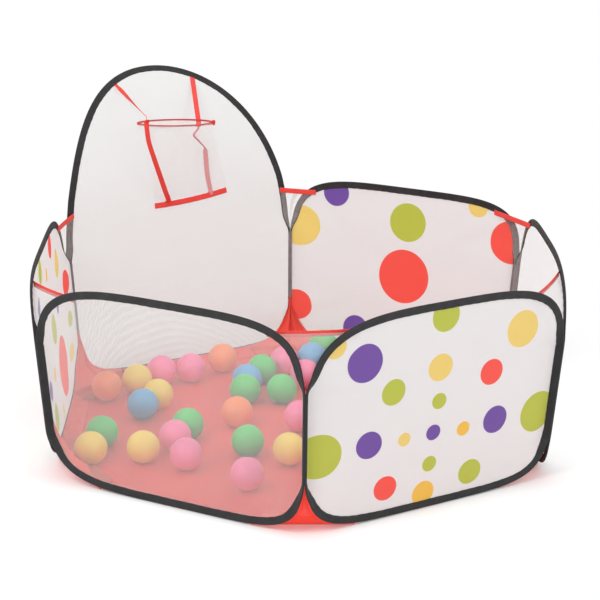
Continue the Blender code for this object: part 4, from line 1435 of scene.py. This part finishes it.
def floor_outline(count):
    """The sheet's edge: along every wall's foot, and across every corner."""
    along = np.linspace(1, -1, FLOOR_EDGE_POINTS) * (WALL_WIDTH / 2 - CORNER_CUT + FLOOR_REACH)
    away = FOOT_DISTANCE + FLOOR_EDGE - FLOOR_PULL * eased(np.abs(along), *FLOOR_PULL_ALONG)
    sides = [np.stack(beside_wall(wall, away, along), -1) for wall in range(WALL_COUNT)]
    return evenly(np.vstack(sides), count)[0]


def under_balls(x, y):
    """The height of the lowest ball surface over a place, or a large height where there is no ball."""
    room = np.full(x.shape, NO_BALL)
    for middle_x, middle_y, height in balls_on_floor:
        away = np.hypot(x - middle_x, y - middle_y)
        over = height - np.sqrt(np.maximum(BALL_RADIUS ** 2 - away ** 2, 0))
        room = np.minimum(room, np.where(away < BALL_RADIUS, over, NO_BALL))
    return room


def floor_height(x, y):
    """The height of the cloth's middle. Two waves across each other make long folds, the first one bent."""
    from_middle = np.hypot(x, y)
    turn = np.arctan2(y, x)
    first, second = (x * rate_x + y * rate_y for rate_x, rate_y in (FIRST_FOLDS, SECOND_FOLDS))
    bend = FIRST_BEND * np.sin(FIRST_BEND_RATE * x)
    long_folds = np.sin(first + bend) * np.cos(second + SECOND_START)
    corner_folds = (np.sin(turn * CORNER_FOLDS + CORNER_FOLD_SWIRL * from_middle)
                    * np.clip(from_middle / CORNER_DISTANCE, 0, 1) ** 3)
    folds = FOLD_BASE + LONG_FOLD_SHARE * long_folds + CORNER_FOLD_SHARE * corner_folds
    height = FLOOR_FOLD * np.clip(folds, 0, 1) ** FOLD_POWER
    at_edge = np.clip((CORNER_DISTANCE * FLAT_FROM_SHARE - from_middle) / FOLD_FADE, 0, 1)
    room = under_balls(x, y) - BALL_CLEARANCE - FLOOR_THICKNESS / 2
    return np.minimum(FLOOR_TOP / 2 + height * at_edge, np.maximum(room, FLOOR_TOP / 2))


def floor_mesh():
    outline = floor_outline(FLOOR_AROUND)
    share = np.linspace(0, 1, FLOOR_RINGS)[:, None, None] ** FLOOR_RING_POWER
    flat = outline[None] * share
    points = np.concatenate([flat, floor_height(flat[..., 0], flat[..., 1])[..., None]], -1)
    flats = np.concatenate([flat, flat[:, :1]], 1)
    mesh = grid_mesh("floor", points, flats, columns_close=True)
    return face_out(mesh)


floor_piece = make_piece("floor_cloth", floor_mesh(), red_cloth)
give_thickness(floor_piece, FLOOR_THICKNESS)
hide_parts("floor_sheet")
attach(floor_piece, "floor")

# %% [markdown]
# ## The floor's turned-up edge
# The sheet is sewn to the loops. Along the middle of a wall the loop is on the floor, but towards each corner it
# curves up, and the cloth climbs to it in a small ramp. These strips belong to their walls, so that they stay sewn
# to them when the ring of walls flexes, and slide over the sheet.

# %% Turn up the floor's edge at each wall
EDGE_ROWS = 10
EDGE_COLUMNS = 90
EDGE_REACH = 0.034
EDGE_LIFT = 0.0016
RAMP_POWER = 2.6
EDGE_RIPPLE_HEIGHT = 0.0005
EDGE_RIPPLES = 130


def edge_points(wall):
    foot = WALL_WIDTH / 2 - CORNER_CUT
    edge, inwards, _ = LOOP_LINES[wall]
    line = edge + inwards * GUSSET_INSETS[0]
    line = line[line[:, 1] < SEAM_FOOT]
    line = line[np.argsort(line[:, 0])]
    along = np.linspace(-foot, foot, EDGE_COLUMNS)
    top = on_wall(wall, along, np.interp(along, line[:, 0], line[:, 1]), TAPE_LIFT)
    low = on_wall(wall, along, 0.0, EDGE_REACH)
    share = np.linspace(0, 1, EDGE_ROWS)[:, None, None]
    grid = top[None] * (1 - share) + low[None] * share
    ramp = (1 - share[..., 0]) ** RAMP_POWER
    rise = top[None, :, 2] * ramp + EDGE_LIFT * (1 - ramp)
    ripple = EDGE_RIPPLE_HEIGHT * np.sin(along[None] * EDGE_RIPPLES + wall) * np.sin(math.pi * share[..., 0])
    grid[..., 2] = np.maximum(rise + ripple, EDGE_LIFT)
    room = under_balls(grid[..., 0], grid[..., 1]) - BALL_CLEARANCE - CLOTH_THICKNESS / 2
    grid[..., 2] = np.minimum(grid[..., 2], np.maximum(room, EDGE_LIFT / 2))
    return grid


for wall, name in enumerate(WALL_NAMES):
    grid = edge_points(wall)
    piece = make_piece(f"floor_edge_{name}", sheet_from(grid), red_cloth)
    give_thickness(piece, CLOTH_THICKNESS)
    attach(piece, f"wall_{name}")
    flats_of(grid)
print("turned-up edges", WALL_COUNT)

# %% [markdown]
# ## Hoop ring
# The hoop is a wire ring in a sleeve of red cloth. The sleeve is longer than the wire, so it is gathered into small
# puckers all round. Geometry Nodes follow such a rule well: a circle becomes a tube, and a sine of the way round
# swells and pinches it. It tips up at its front, as the CAD ring does.

# %% Gather the sleeve on the ring
HOOP_RADIUS = 0.074
HOOP_TUBE_RADIUS = 0.00225
SLEEVE_RADIUS = 0.0018
HOOP_TILT = math.radians(14.5)
HOOP_SIDE_TILT = math.radians(7)
HOOP_ALONG = 0.023
HOOP_BACK_HEIGHT = 0.4945
HOOP_BACK_GAP = 0.0055
RING_STEPS = 300
RING_SIDES = 12
GATHER_COUNT = 74
GATHER_SHARE = 0.14
SLEEVE_LEAST = 0.86


def tall_run_at(height):
    """Outward run of the tall wall's surface at a height."""
    bend_height = BEND_START * math.cos(LEAN_ANGLE)
    if height <= bend_height:
        return height * math.tan(LEAN_ANGLE)
    slope = math.asin((height - bend_height) / BEND_RADIUS + math.sin(LEAN_ANGLE))
    return BEND_START * math.sin(LEAN_ANGLE) + BEND_RADIUS * (math.cos(LEAN_ANGLE) - math.cos(slope))


def tall_wall_matrix():
    """The tall wall's own frame: +X towards its first corner, +Y outwards, +Z up."""
    turn = (TALL_WALL - 1) * WALL_TURN
    middle = Vector((math.cos(turn), math.sin(turn), 0)) * FOOT_DISTANCE
    return Matrix.Translation(middle) @ Matrix.Rotation(turn - math.pi / 2, 4, "Z")


def hoop_matrix():
    """The ring's own frame in the tall wall's: +X along the wall, +Y to its lifted front, +Z through it."""
    back = Vector((-HOOP_ALONG, tall_run_at(HOOP_BACK_HEIGHT) - HOOP_BACK_GAP, HOOP_BACK_HEIGHT))
    turn = Matrix.Rotation(math.pi, 4, "Z") @ Matrix.Rotation(HOOP_TILT, 4, "X")
    turn = turn @ Matrix.Rotation(-HOOP_SIDE_TILT, 4, "Y")
    return Matrix.Translation(back) @ turn @ Matrix.Translation((0, HOOP_RADIUS, 0))


RING_TO_WORLD = tall_wall_matrix() @ hoop_matrix()


def sleeve_tree():
    inputs = [("Ring Radius", "NodeSocketFloat"), ("Sleeve Radius", "NodeSocketFloat"),
              ("Gathers", "NodeSocketFloat"), ("Gather Share", "NodeSocketFloat"),
              ("Finish", "NodeSocketMaterial")]
    tree, start, end = group_with_inputs("gathered_sleeve", inputs)
    ring = put(tree, "GeometryNodeCurvePrimitiveCircle", {"Resolution": RING_STEPS,
                                                          "Radius": start.outputs["Ring Radius"]})
    way = put(tree, "GeometryNodeSplineParameter", {}).outputs["Factor"]
    wave = math_node(tree, "SINE", math_node(tree, "MULTIPLY", math_node(tree, "MULTIPLY", way, FULL_TURN),
                                             start.outputs["Gathers"]))
    swell = math_node(tree, "MULTIPLY_ADD", wave, start.outputs["Gather Share"], SLEEVE_LEAST)
    thick = math_node(tree, "MULTIPLY", swell, start.outputs["Sleeve Radius"])
    swelled = put(tree, "GeometryNodeSetCurveRadius", {"Curve": ring.outputs["Curve"], "Radius": thick})
    section = put(tree, "GeometryNodeCurvePrimitiveCircle", {"Resolution": RING_SIDES, "Radius": 1})
    radius = put(tree, "GeometryNodeInputRadius", {})
    tube = put(tree, "GeometryNodeCurveToMesh", {"Curve": swelled.outputs["Curve"],
                                                 "Profile Curve": section.outputs["Curve"]})
    if "Scale" in tube.inputs:
        tree.links.new(radius.outputs["Radius"], tube.inputs["Scale"])
    coloured = put(tree, "GeometryNodeSetMaterial", {"Geometry": tube.outputs["Mesh"],
                                                     "Material": start.outputs["Finish"]})
    tree.links.new(coloured.outputs["Geometry"], end.inputs["Geometry"])
    return tree


def add_uv_from(mesh, place_of):
    """Gives a mesh its flat places from a function of each corner's point."""
    layer = mesh.uv_layers.new(name="Flat")
    for loop in mesh.loops:
        layer.data[loop.index].uv = place_of(mesh.vertices[loop.vertex_index].co)


def add_hoop():
    mesh = bpy.data.meshes.new("hoop_sleeve")
    mesh.from_pydata([(0, 0, 0)], [], [])
    values = {"Ring Radius": HOOP_RADIUS, "Sleeve Radius": SLEEVE_RADIUS, "Gathers": float(GATHER_COUNT),
              "Gather Share": GATHER_SHARE, "Finish": hoop_sleeve}
    piece = grow(make_piece("hoop_sleeve", mesh), sleeve_tree(), values)
    add_uv_from(piece.data, lambda point: (math.atan2(point.y, point.x) * HOOP_RADIUS, point.z))
    piece.data.transform(RING_TO_WORLD)
    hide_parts("hoop_ring")
    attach(piece, "hoop_ring")
    return piece


hoop = add_hoop()
print("hoop sleeve", triangles_in(hoop), "triangles")

# %% [markdown]
# ## Net pocket
# The net hangs from the whole ring and narrows to a flat mouth above a red tape on the wall. Its rows go from a
# circle to a flat slot. A round net that is made flat has cloth to spare, which falls into pleats, deeper towards
# the foot. It is gathered on the ring.

# %% Hang the pocket
HEM_LEFT, HEM_LEFT_HEIGHT = 0.057, 0.341
HEM_RIGHT, HEM_RIGHT_HEIGHT = -0.110, 0.355
HEM_WIDTH = 0.011
HEM_HALF = 0.0008
POCKET_ROWS = 44
POCKET_AROUND = 144
POCKET_WALL_GAP = 0.0035
POCKET_FOOT_DEPTH = 0.005
PLEATS = 17
PLEAT_HEIGHT = 0.0016
POCKET_TOP_DROP = 0.0012
POCKET_EASE = 0.10
PLEAT_POWER = 0.7
PLEAT_LEVEL = 0.6


def hem_length(along):
    """The length up the cloth of the hem tape's middle. Along grows towards the wall's second corner."""
    share = (along - HEM_LEFT) / (HEM_RIGHT - HEM_LEFT)
    return HEM_LEFT_HEIGHT + (HEM_RIGHT_HEIGHT - HEM_LEFT_HEIGHT) * share


def ring_points(turn, radius, rise):
    """World points by the ring, at a turn round it, a distance from its axis and a rise along it."""
    turn, radius, rise = np.broadcast_arrays(turn, radius, rise)
    local = np.stack([np.cos(turn) * radius, np.sin(turn) * radius, rise, np.ones(turn.shape)], -1)
    return (local @ np.array(RING_TO_WORLD).T)[..., :3]


def out_of_tall_wall():
    return np.array([*beside_wall(TALL_WALL, 1, 0), 0])


def keep_inside(points, gap):
    """Moves points that would pass through the tall wall's cloth back to a gap in front of it."""
    out = out_of_tall_wall()
    away = points @ out - FOOT_DISTANCE
    limit = np.vectorize(tall_run_at)(points[..., 2]) - gap
    return points - np.maximum(away - limit, 0)[..., None] * out


def pocket_surface(turn, share):
    top = ring_points(turn, HOOP_RADIUS, -HOOP_TUBE_RADIUS - POCKET_TOP_DROP)
    along = (HEM_LEFT + HEM_RIGHT) / 2 + (HEM_LEFT - HEM_RIGHT) / 2 * np.cos(turn)
    off = POCKET_WALL_GAP + POCKET_FOOT_DEPTH / 2 * (1 + np.sin(turn))
    foot = on_wall(TALL_WALL, -along, hem_length(along) + HEM_WIDTH / 2, off)
    share = np.asarray(share)[..., None]
    down = share + POCKET_EASE * np.sin(math.pi * share)
    return keep_inside(top * (1 - down) + foot * down, POCKET_WALL_GAP)


def pocket_points():
    turns = np.arange(POCKET_AROUND) * FULL_TURN / POCKET_AROUND
    turn, share = np.meshgrid(turns, np.linspace(0, 1, POCKET_ROWS))
    points = pocket_surface(turn, share)
    outwards = unit(points - points.mean(1, keepdims=True))
    pleat = PLEAT_HEIGHT * share ** PLEAT_POWER * (np.sin(PLEATS * turn + 2 * np.sin(turn)) - PLEAT_LEVEL)
    return keep_inside(points + pleat[..., None] * outwards, POCKET_WALL_GAP / 2)


def add_pocket():
    grid = pocket_points()
    around = walk(np.vstack([grid[0], grid[0, :1]]))
    down = walk(grid[:, POCKET_AROUND // 4])
    flats = np.stack(np.meshgrid(around, down), -1)
    piece = make_piece("pocket_net", grid_mesh("pocket", grid, flats, columns_close=True), fine_net)
    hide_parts("hoop_pocket")
    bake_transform(piece)
    return piece


pocket = add_pocket()
print("pocket net", triangles_in(pocket), "triangles")

# %% [markdown]
# ## Red webbing
# Flat straps need only a line, the way their width lies, and a section. A strap may twist: it lies flat where it is
# sewn, and turns edge-on where it hangs. The section has rounded edges, or the strap looks like a cut strip of card.
# Two straps carry the ring, and two more run down the net to the hem. The lower right one is seen through the net
# and against the light, and that light is painted in: its tape is given a paler red, a painted backlight.

# %% Straps from a line and the way their width lies
WEB_WIDTH = 0.010
NARROW_WEB_WIDTH = 0.0075
WEB_HALF = 0.0004
WEB_SECTION_SHARES = ((-1, -0.5), (-0.97, -1), (-0.5, -0.9), (0, -1), (0.5, -0.9), (0.97, -1), (1, -0.5),
                      (1, 0.5), (0.97, 1), (0.5, 0.9), (0, 1), (-0.5, 0.9), (-0.97, 1), (-1, 0.5))


def smooth_line(points, count):
    """A smooth line through points, or through other values that go with them."""
    points = np.array(points, float)
    ends = np.vstack([2 * points[:1] - points[1:2], points, 2 * points[-1:] - points[-2:-1]])
    places = np.linspace(0, len(points) - 1, count)
    index = np.minimum(places.astype(int), len(points) - 2)
    share = (places - index)[:, None]
    a, b, c, d = (ends[index + step] for step in range(4))
    return 0.5 * (2 * b + (c - a) * share + (2 * a - 5 * b + 4 * c - d) * share ** 2
                  + (3 * b - a - 3 * c + d) * share ** 3)


def strap_rings(points, widths, width, half, count):
    """Rings of points along a strap. Widths are rough directions of its width, made square to its line."""
    line, side = smooth_line(points, count), smooth_line(widths, count)
    ahead = unit(np.gradient(line, axis=0))
    side = unit(side - ahead * (side * ahead).sum(1, keepdims=True))
    up = unit(np.cross(side, ahead))
    shares = np.array(WEB_SECTION_SHARES)
    return line[:, None] + side[:, None] * shares[:, :1] * width / 2 + up[:, None] * shares[:, 1:] * half


def add_strap(name, points, widths, width, half, count, bodies, finish=None):
    """A strap that rides on one body when it is given one; given two, it rides on neither."""
    rings = strap_rings(points, widths, width, half, count)
    piece = make_piece(name, tube_mesh("strap", rings), finish or red_tape)
    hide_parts("hoop_webbing")
    if len(bodies) == 1:
        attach(piece, bodies[0])
    else:
        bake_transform(piece)
    return piece


# %% [markdown]
# ## Where the webbing runs
# The hem tape is sewn on the net, just below the pocket, and sags a little. The upper straps come out from under
# the loop's tape near its top and go to the two sides of the ring. The left one turns edge-on on its way. The lower
# straps start at the ring and follow the pocket to the hem. The right one is slack and kinks where it leaves the
# ring, so its path is moved sideways at two places.

# %% Sew on the hem and the straps
HANGER_SPREAD = 0.088
HANGER_INSETS = (0.0100, 0.0150)
HANGER_LIFT = 0.0007
LEFT_RING_TURN = math.radians(15)
RIGHT_RING_TURN = math.radians(205)
LEFT_WEB_FOOT = 0.029
RIGHT_WEB_FOOT = -0.072
STRAP_STEPS = 46
WEB_OFF_POCKET = 0.0020
HEM_LIFT = 0.0012
HEM_SAG = 0.0035
FRONTWARDS = np.array([0.05, -0.97, 0.2])
SIDEWAYS = np.array([1, 0.05, 0])
HEM_STEPS = 12
HANGER_STAGES = (0.12, 0.35, 0.6, 0.85)
TWIST_POWER = 0.4
ABOVE_RING, BELOW_RING, FROM_RING = 0.008, -0.003, 0.001
KINK_SIDE_SHARE = 0.4
TURNED_SHARE = 0.8
# Shares of the way from the ring to the hem, and sideways moves there towards the wall's second corner
LEFT_WEB_ROUTE = ((0.06, 0.0025), (0.18, 0.0055), (0.34, 0.0035), (0.5, 0.0015), (0.8, 0), (0.97, 0))
RIGHT_WEB_ROUTE = ((0.03, 0.002), (0.11, 0.015), (0.18, 0.007), (0.27, -0.004), (0.32, -0.003), (0.5, 0.0005),
                   (0.66, 0.0025), (0.82, 0.002), (0.97, 0))
KINK_STAGES = 4


def wall_facing(length):
    """The direction off the tall wall's inner side at a length up its cloth."""
    slope = float(wall_surface(length, True)[2])
    return np.array([0, 0, math.sin(slope)]) - out_of_tall_wall() * math.cos(slope)


def up_tall_wall(length):
    slope = float(wall_surface(length, True)[2])
    return np.array([0, 0, math.cos(slope)]) + out_of_tall_wall() * math.sin(slope)


def hem_line(along):
    share = (along - HEM_LEFT) / (HEM_RIGHT - HEM_LEFT)
    return hem_length(along) - HEM_SAG * 4 * share * (1 - share)


def add_hem():
    along = np.linspace(HEM_LEFT, HEM_RIGHT, HEM_STEPS)
    points = on_wall(TALL_WALL, -along, hem_line(along), HEM_LIFT)
    widths = [up_tall_wall(hem_length(place)) for place in along]
    return add_strap("hem_tape", points, widths, HEM_WIDTH, HEM_HALF, STRAP_STEPS, ["wall_hoop"])


def ring_radial(turn):
    return ring_points(turn, 1.0, 0.0) - ring_points(turn, 0.0, 0.0)


def round_ring():
    """How far from the ring's middle a strap's middle lies."""
    return HOOP_RADIUS + SLEEVE_RADIUS + WEB_HALF


def top_at(along, inset):
    """The length up the tall wall's cloth at which a line inside its loop crosses a place along the wall."""
    edge, inwards, _ = LOOP_LINES[TALL_WALL]
    line = edge + inwards * inset
    line = line[(line[:, 1] > TALL_LENGTH / 2) & (line[:, 0] > 0)]
    line = line[np.argsort(line[:, 0])]
    return float(np.interp(abs(along), line[:, 0], line[:, 1]))


def upper_strap(name, spread, turn, edge_on):
    tops = [top_at(spread, inset) for inset in HANGER_INSETS]
    start = on_wall(TALL_WALL, -spread, np.array(tops), HANGER_LIFT)
    finish = [ring_points(turn, round_ring(), rise) for rise in (ABOVE_RING, BELOW_RING)]
    flat = unit(np.cross(finish[0] - start[1], wall_facing(tops[1])))
    flat = flat * np.sign(flat @ SIDEWAYS)
    last = FRONTWARDS if edge_on else SIDEWAYS
    points = [*start, *(start[1] * (1 - stage) + finish[0] * stage for stage in HANGER_STAGES), *finish]
    twists = [stage ** TWIST_POWER for stage in HANGER_STAGES]
    widths = [flat, flat, *(flat * (1 - twist) + last * twist for twist in twists), last, last]
    width = NARROW_WEB_WIDTH if edge_on else WEB_WIDTH
    return add_strap(name, points, widths, width, WEB_HALF, STRAP_STEPS, ["wall_hoop", "hoop_ring"])


def pocket_facing(turn, share):
    nudge = 0.01
    wide = pocket_surface(turn + nudge, share) - pocket_surface(turn - nudge, share)
    down = pocket_surface(turn, share + nudge) - pocket_surface(turn, share - nudge)
    return unit(np.cross(down, wide))


def lower_strap(name, ring_turn, foot, route, kinked):
    middle, half = (HEM_LEFT + HEM_RIGHT) / 2, (HEM_LEFT - HEM_RIGHT) / 2
    foot_turn = math.acos((foot - middle) / half)
    if math.cos(ring_turn) < 0:
        foot_turn = FULL_TURN - foot_turn
    along_wall = ring_radial(0.0)
    points = [ring_points(ring_turn, round_ring(), FROM_RING)]
    widths = [FRONTWARDS if kinked else SIDEWAYS]
    for index, (share, aside) in enumerate(route):
        turn = ring_turn + (foot_turn - ring_turn) * share
        facing = pocket_facing(turn, share)
        points.append(pocket_surface(turn, share) + facing * (WEB_OFF_POCKET + WEB_HALF) + along_wall * aside)
        if kinked:
            widths.append(FRONTWARDS + KINK_SIDE_SHARE * SIDEWAYS if index < KINK_STAGES else SIDEWAYS)
        else:
            widths.append(unit(np.cross(unit(facing + TURNED_SHARE * FRONTWARDS), (0, 0, 1.0))))
    hem = float(hem_line(np.float64(foot)))
    lift = HEM_LIFT + HEM_HALF + WEB_HALF
    points += [on_wall(TALL_WALL, -foot, np.float64(length), lift) for length in (hem + HEM_WIDTH / 2, hem)]
    widths = [side * np.sign(side @ widths[-1]) for side in widths]
    widths += [widths[-1]] * 2
    points, widths = points[::-1], widths[::-1]
    # The kinked lower right strap gets the paler red, which is painted backlight.
    return add_strap(name, points, widths, WEB_WIDTH, WEB_HALF, STRAP_STEPS * 3, ["wall_hoop", "hoop_ring"],
                     painted_backlit_tape if kinked else red_tape)


add_hem()
straps = [upper_strap("strap_upper_left", HANGER_SPREAD, LEFT_RING_TURN, True),
          upper_strap("strap_upper_right", -HANGER_SPREAD, RIGHT_RING_TURN, False),
          lower_strap("strap_lower_left", LEFT_RING_TURN, LEFT_WEB_FOOT, LEFT_WEB_ROUTE, False),
          lower_strap("strap_lower_right", RIGHT_RING_TURN, RIGHT_WEB_FOOT, RIGHT_WEB_ROUTE, True)]
print("straps", [piece.name for piece in straps])

# %% [markdown]
# ## Thread and knot on the hoop
# The net is whipped to the ring with a thread hoop every few millimetres, which the second stitching tree makes.
# Each strap is held to the ring by a wrap of webbing, and on the right it is tied in a small knot. A trefoil is
# the simplest true knot, so a thick line along one, pulled tight, looks like a knot from every side.

# %% Whip the ring and tie the knot
WHIP_PITCH = 0.0056
WHIP_RADIUS = 0.0024
WRAP_WIDTH = 0.009
WRAP_TURNS_ON_RING = {"left": math.radians(-24), "left_strap": LEFT_RING_TURN, "right_strap": RIGHT_RING_TURN}
KNOT_TURN = math.radians(160)
KNOT_SIZE = 0.0016
KNOT_STEPS = 120
KNOT_SIDES = 8
KNOT_THICKNESS = 0.0014
KNOT_DEPTH = 1.2
KNOT_OUT, KNOT_UP = 0.0035, 0.001
KNOT_CLOTH_LENGTH, KNOT_CLOTH_WIDTH = 0.09, 0.01
WHIP_DROP = 0.0006
WHIP_THREAD = 0.0005
WRAP_SIDES = 20
WRAP_GAP = 0.0002
WRAP_SECTION_SHARES = ((-1, 0.9), (-0.94, 1.25), (-0.5, 1.32), (0, 1.36), (0.5, 1.32), (0.94, 1.25), (1, 0.9))


def ring_line(count):
    return ring_points(np.arange(count) * FULL_TURN / count, HOOP_RADIUS, -WHIP_DROP)


def wrap_rings(turn):
    """A band of webbing round the ring's sleeve."""
    around = np.arange(WRAP_SIDES) * FULL_TURN / WRAP_SIDES
    rings = []
    for shift, size in WRAP_SECTION_SHARES:
        there, radius = turn + shift * WRAP_WIDTH / 2 / HOOP_RADIUS, (SLEEVE_RADIUS + WRAP_GAP) * size
        rings.append(ring_points(there, HOOP_RADIUS + np.cos(around) * radius, np.sin(around) * radius))
    return np.array(rings)


def knot_rings(turn):
    """A thick line along a trefoil, beside the ring."""
    t = np.arange(KNOT_STEPS) * FULL_TURN / KNOT_STEPS
    path = KNOT_SIZE * np.stack([np.sin(t) + 2 * np.sin(2 * t), np.cos(t) - 2 * np.cos(2 * t),
                                 -KNOT_DEPTH * np.sin(3 * t)], -1)
    ahead = np.roll(path, -1, axis=0) - np.roll(path, 1, axis=0)
    side = unit(np.cross(ahead, (0, 0, 1.0)))
    up = unit(np.cross(side, ahead))
    around = np.arange(KNOT_SIDES) * FULL_TURN / KNOT_SIDES
    ring = (path[:, None] + side[:, None] * np.cos(around)[:, None] * KNOT_THICKNESS
            + up[:, None] * np.sin(around)[:, None] * KNOT_THICKNESS)
    middle = ring_points(turn, HOOP_RADIUS + KNOT_OUT, KNOT_UP)
    axis = ring_points(turn, 0.0, 1.0) - ring_points(turn, 0.0, 0.0)
    return middle + ring @ np.stack([ring_radial(turn + math.pi / 2), axis, ring_radial(turn)])


whipping = sew("whip_thread", whip_stitches, [ring_line(RING_STEPS)], WHIP_PITCH, WHIP_RADIUS, WHIP_THREAD,
               red_thread)
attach(whipping, "hoop_ring")
for side, turn in WRAP_TURNS_ON_RING.items():
    wrap = make_piece(f"strap_wrap_{side}", tube_mesh("wrap", wrap_rings(turn)), red_tape)
    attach(wrap, "hoop_ring")
knot_flats = flat_places(np.linspace(0, KNOT_CLOTH_LENGTH, KNOT_STEPS + 1),
                         np.linspace(0, KNOT_CLOTH_WIDTH, KNOT_SIDES + 1))
knot_mesh = grid_mesh("knot", knot_rings(KNOT_TURN), knot_flats, rows_close=True, columns_close=True)
knot = make_piece("strap_knot", face_out(knot_mesh), red_tape)
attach(knot, "hoop_ring")
print("knot", triangles_in(knot), "triangles")

# %% [markdown]
# ## Stage and light
# The object stands on a pale floor in soft, even light. One broad lamp from the upper left and a weaker one from the
# right give the balls their shape, and the world fills the rest. Behind, white comes from the floor itself: to the
# camera it changes to plain white some way from the object, and near the object it keeps its shadow.

# %% Set the stage
STAGE_HALF = 30
STAGE_ROUGHNESS = 0.9
FLOOR_GLOW = 0.10
WHITE_START, WHITE_END = 0.56, 1.00
WORLD_LEVEL = 0.92
KEY_PLACE, KEY_SIZE, KEY_POWER = (-1.6, -1.8, 2.6), 1.6, 40
FILL_PLACE, FILL_SIZE, FILL_POWER = (2.4, -1.2, 1.8), 2.0, 14
LAMPS_AIM = (0, 0, 0.2)


def add_stage():
    mesh = bpy.data.meshes.new("stage")
    corners = [(x * STAGE_HALF, y * STAGE_HALF, 0) for x, y in ((-1, -1), (1, -1), (1, 1), (-1, 1))]
    mesh.from_pydata(corners, [], [(0, 1, 2, 3)])
    material, tree, shader = new_finish("stage_floor", {"Base Color": STAGE_GREY, "Roughness": STAGE_ROUGHNESS,
                                                        "Emission Color": (1, 1, 1, 1)})
    rays = put(tree, "ShaderNodeLightPath", {})
    seen = math_node(tree, "MAXIMUM", rays.outputs["Is Camera Ray"], rays.outputs["Is Transmission Ray"])
    fill(tree, shader, {"Emission Strength": math_node(tree, "MULTIPLY", seen, FLOOR_GLOW)})
    place = put(tree, "ShaderNodeTexCoord", {}).outputs["Object"]
    away = vector_node(tree, "LENGTH", place)["Value"]
    far = rescale(tree, away, (WHITE_START, WHITE_END), interpolation_type="SMOOTHSTEP")
    show_mixed(tree, math_node(tree, "MULTIPLY", seen, far), shader, put(tree, "ShaderNodeEmission", {}))
    make_piece("stage", mesh, material)


def add_world():
    world = bpy.data.worlds.new("world")
    bpy.context.scene.world = world
    world.use_nodes = True
    tree = world.node_tree
    rays = put(tree, "ShaderNodeLightPath", {})
    seen = math_node(tree, "MAXIMUM", rays.outputs["Is Camera Ray"], rays.outputs["Is Glossy Ray"])
    strength = rescale(tree, seen, wanted=(WORLD_LEVEL, 1))
    fill(tree, tree.nodes["Background"], {"Color": (1, 1, 1, 1), "Strength": strength})


def add_lamp(name, place, size, power):
    lamp = bpy.data.lights.new(name, "AREA")
    lamp.shape = "DISK"
    lamp.size = size
    lamp.energy = power
    holder = bpy.data.objects.new(name, lamp)
    bpy.context.scene.collection.objects.link(holder)
    aim = (Vector(LAMPS_AIM) - Vector(place)).to_track_quat("-Z", "Y").to_matrix().to_4x4()
    holder.matrix_world = Matrix.Translation(place) @ aim


add_stage()
add_world()
add_lamp("key", KEY_PLACE, KEY_SIZE, KEY_POWER)
add_lamp("fill", FILL_PLACE, FILL_SIZE, FILL_POWER)
bpy.context.scene.view_settings.view_transform = "Standard"
print("stage and two lamps")
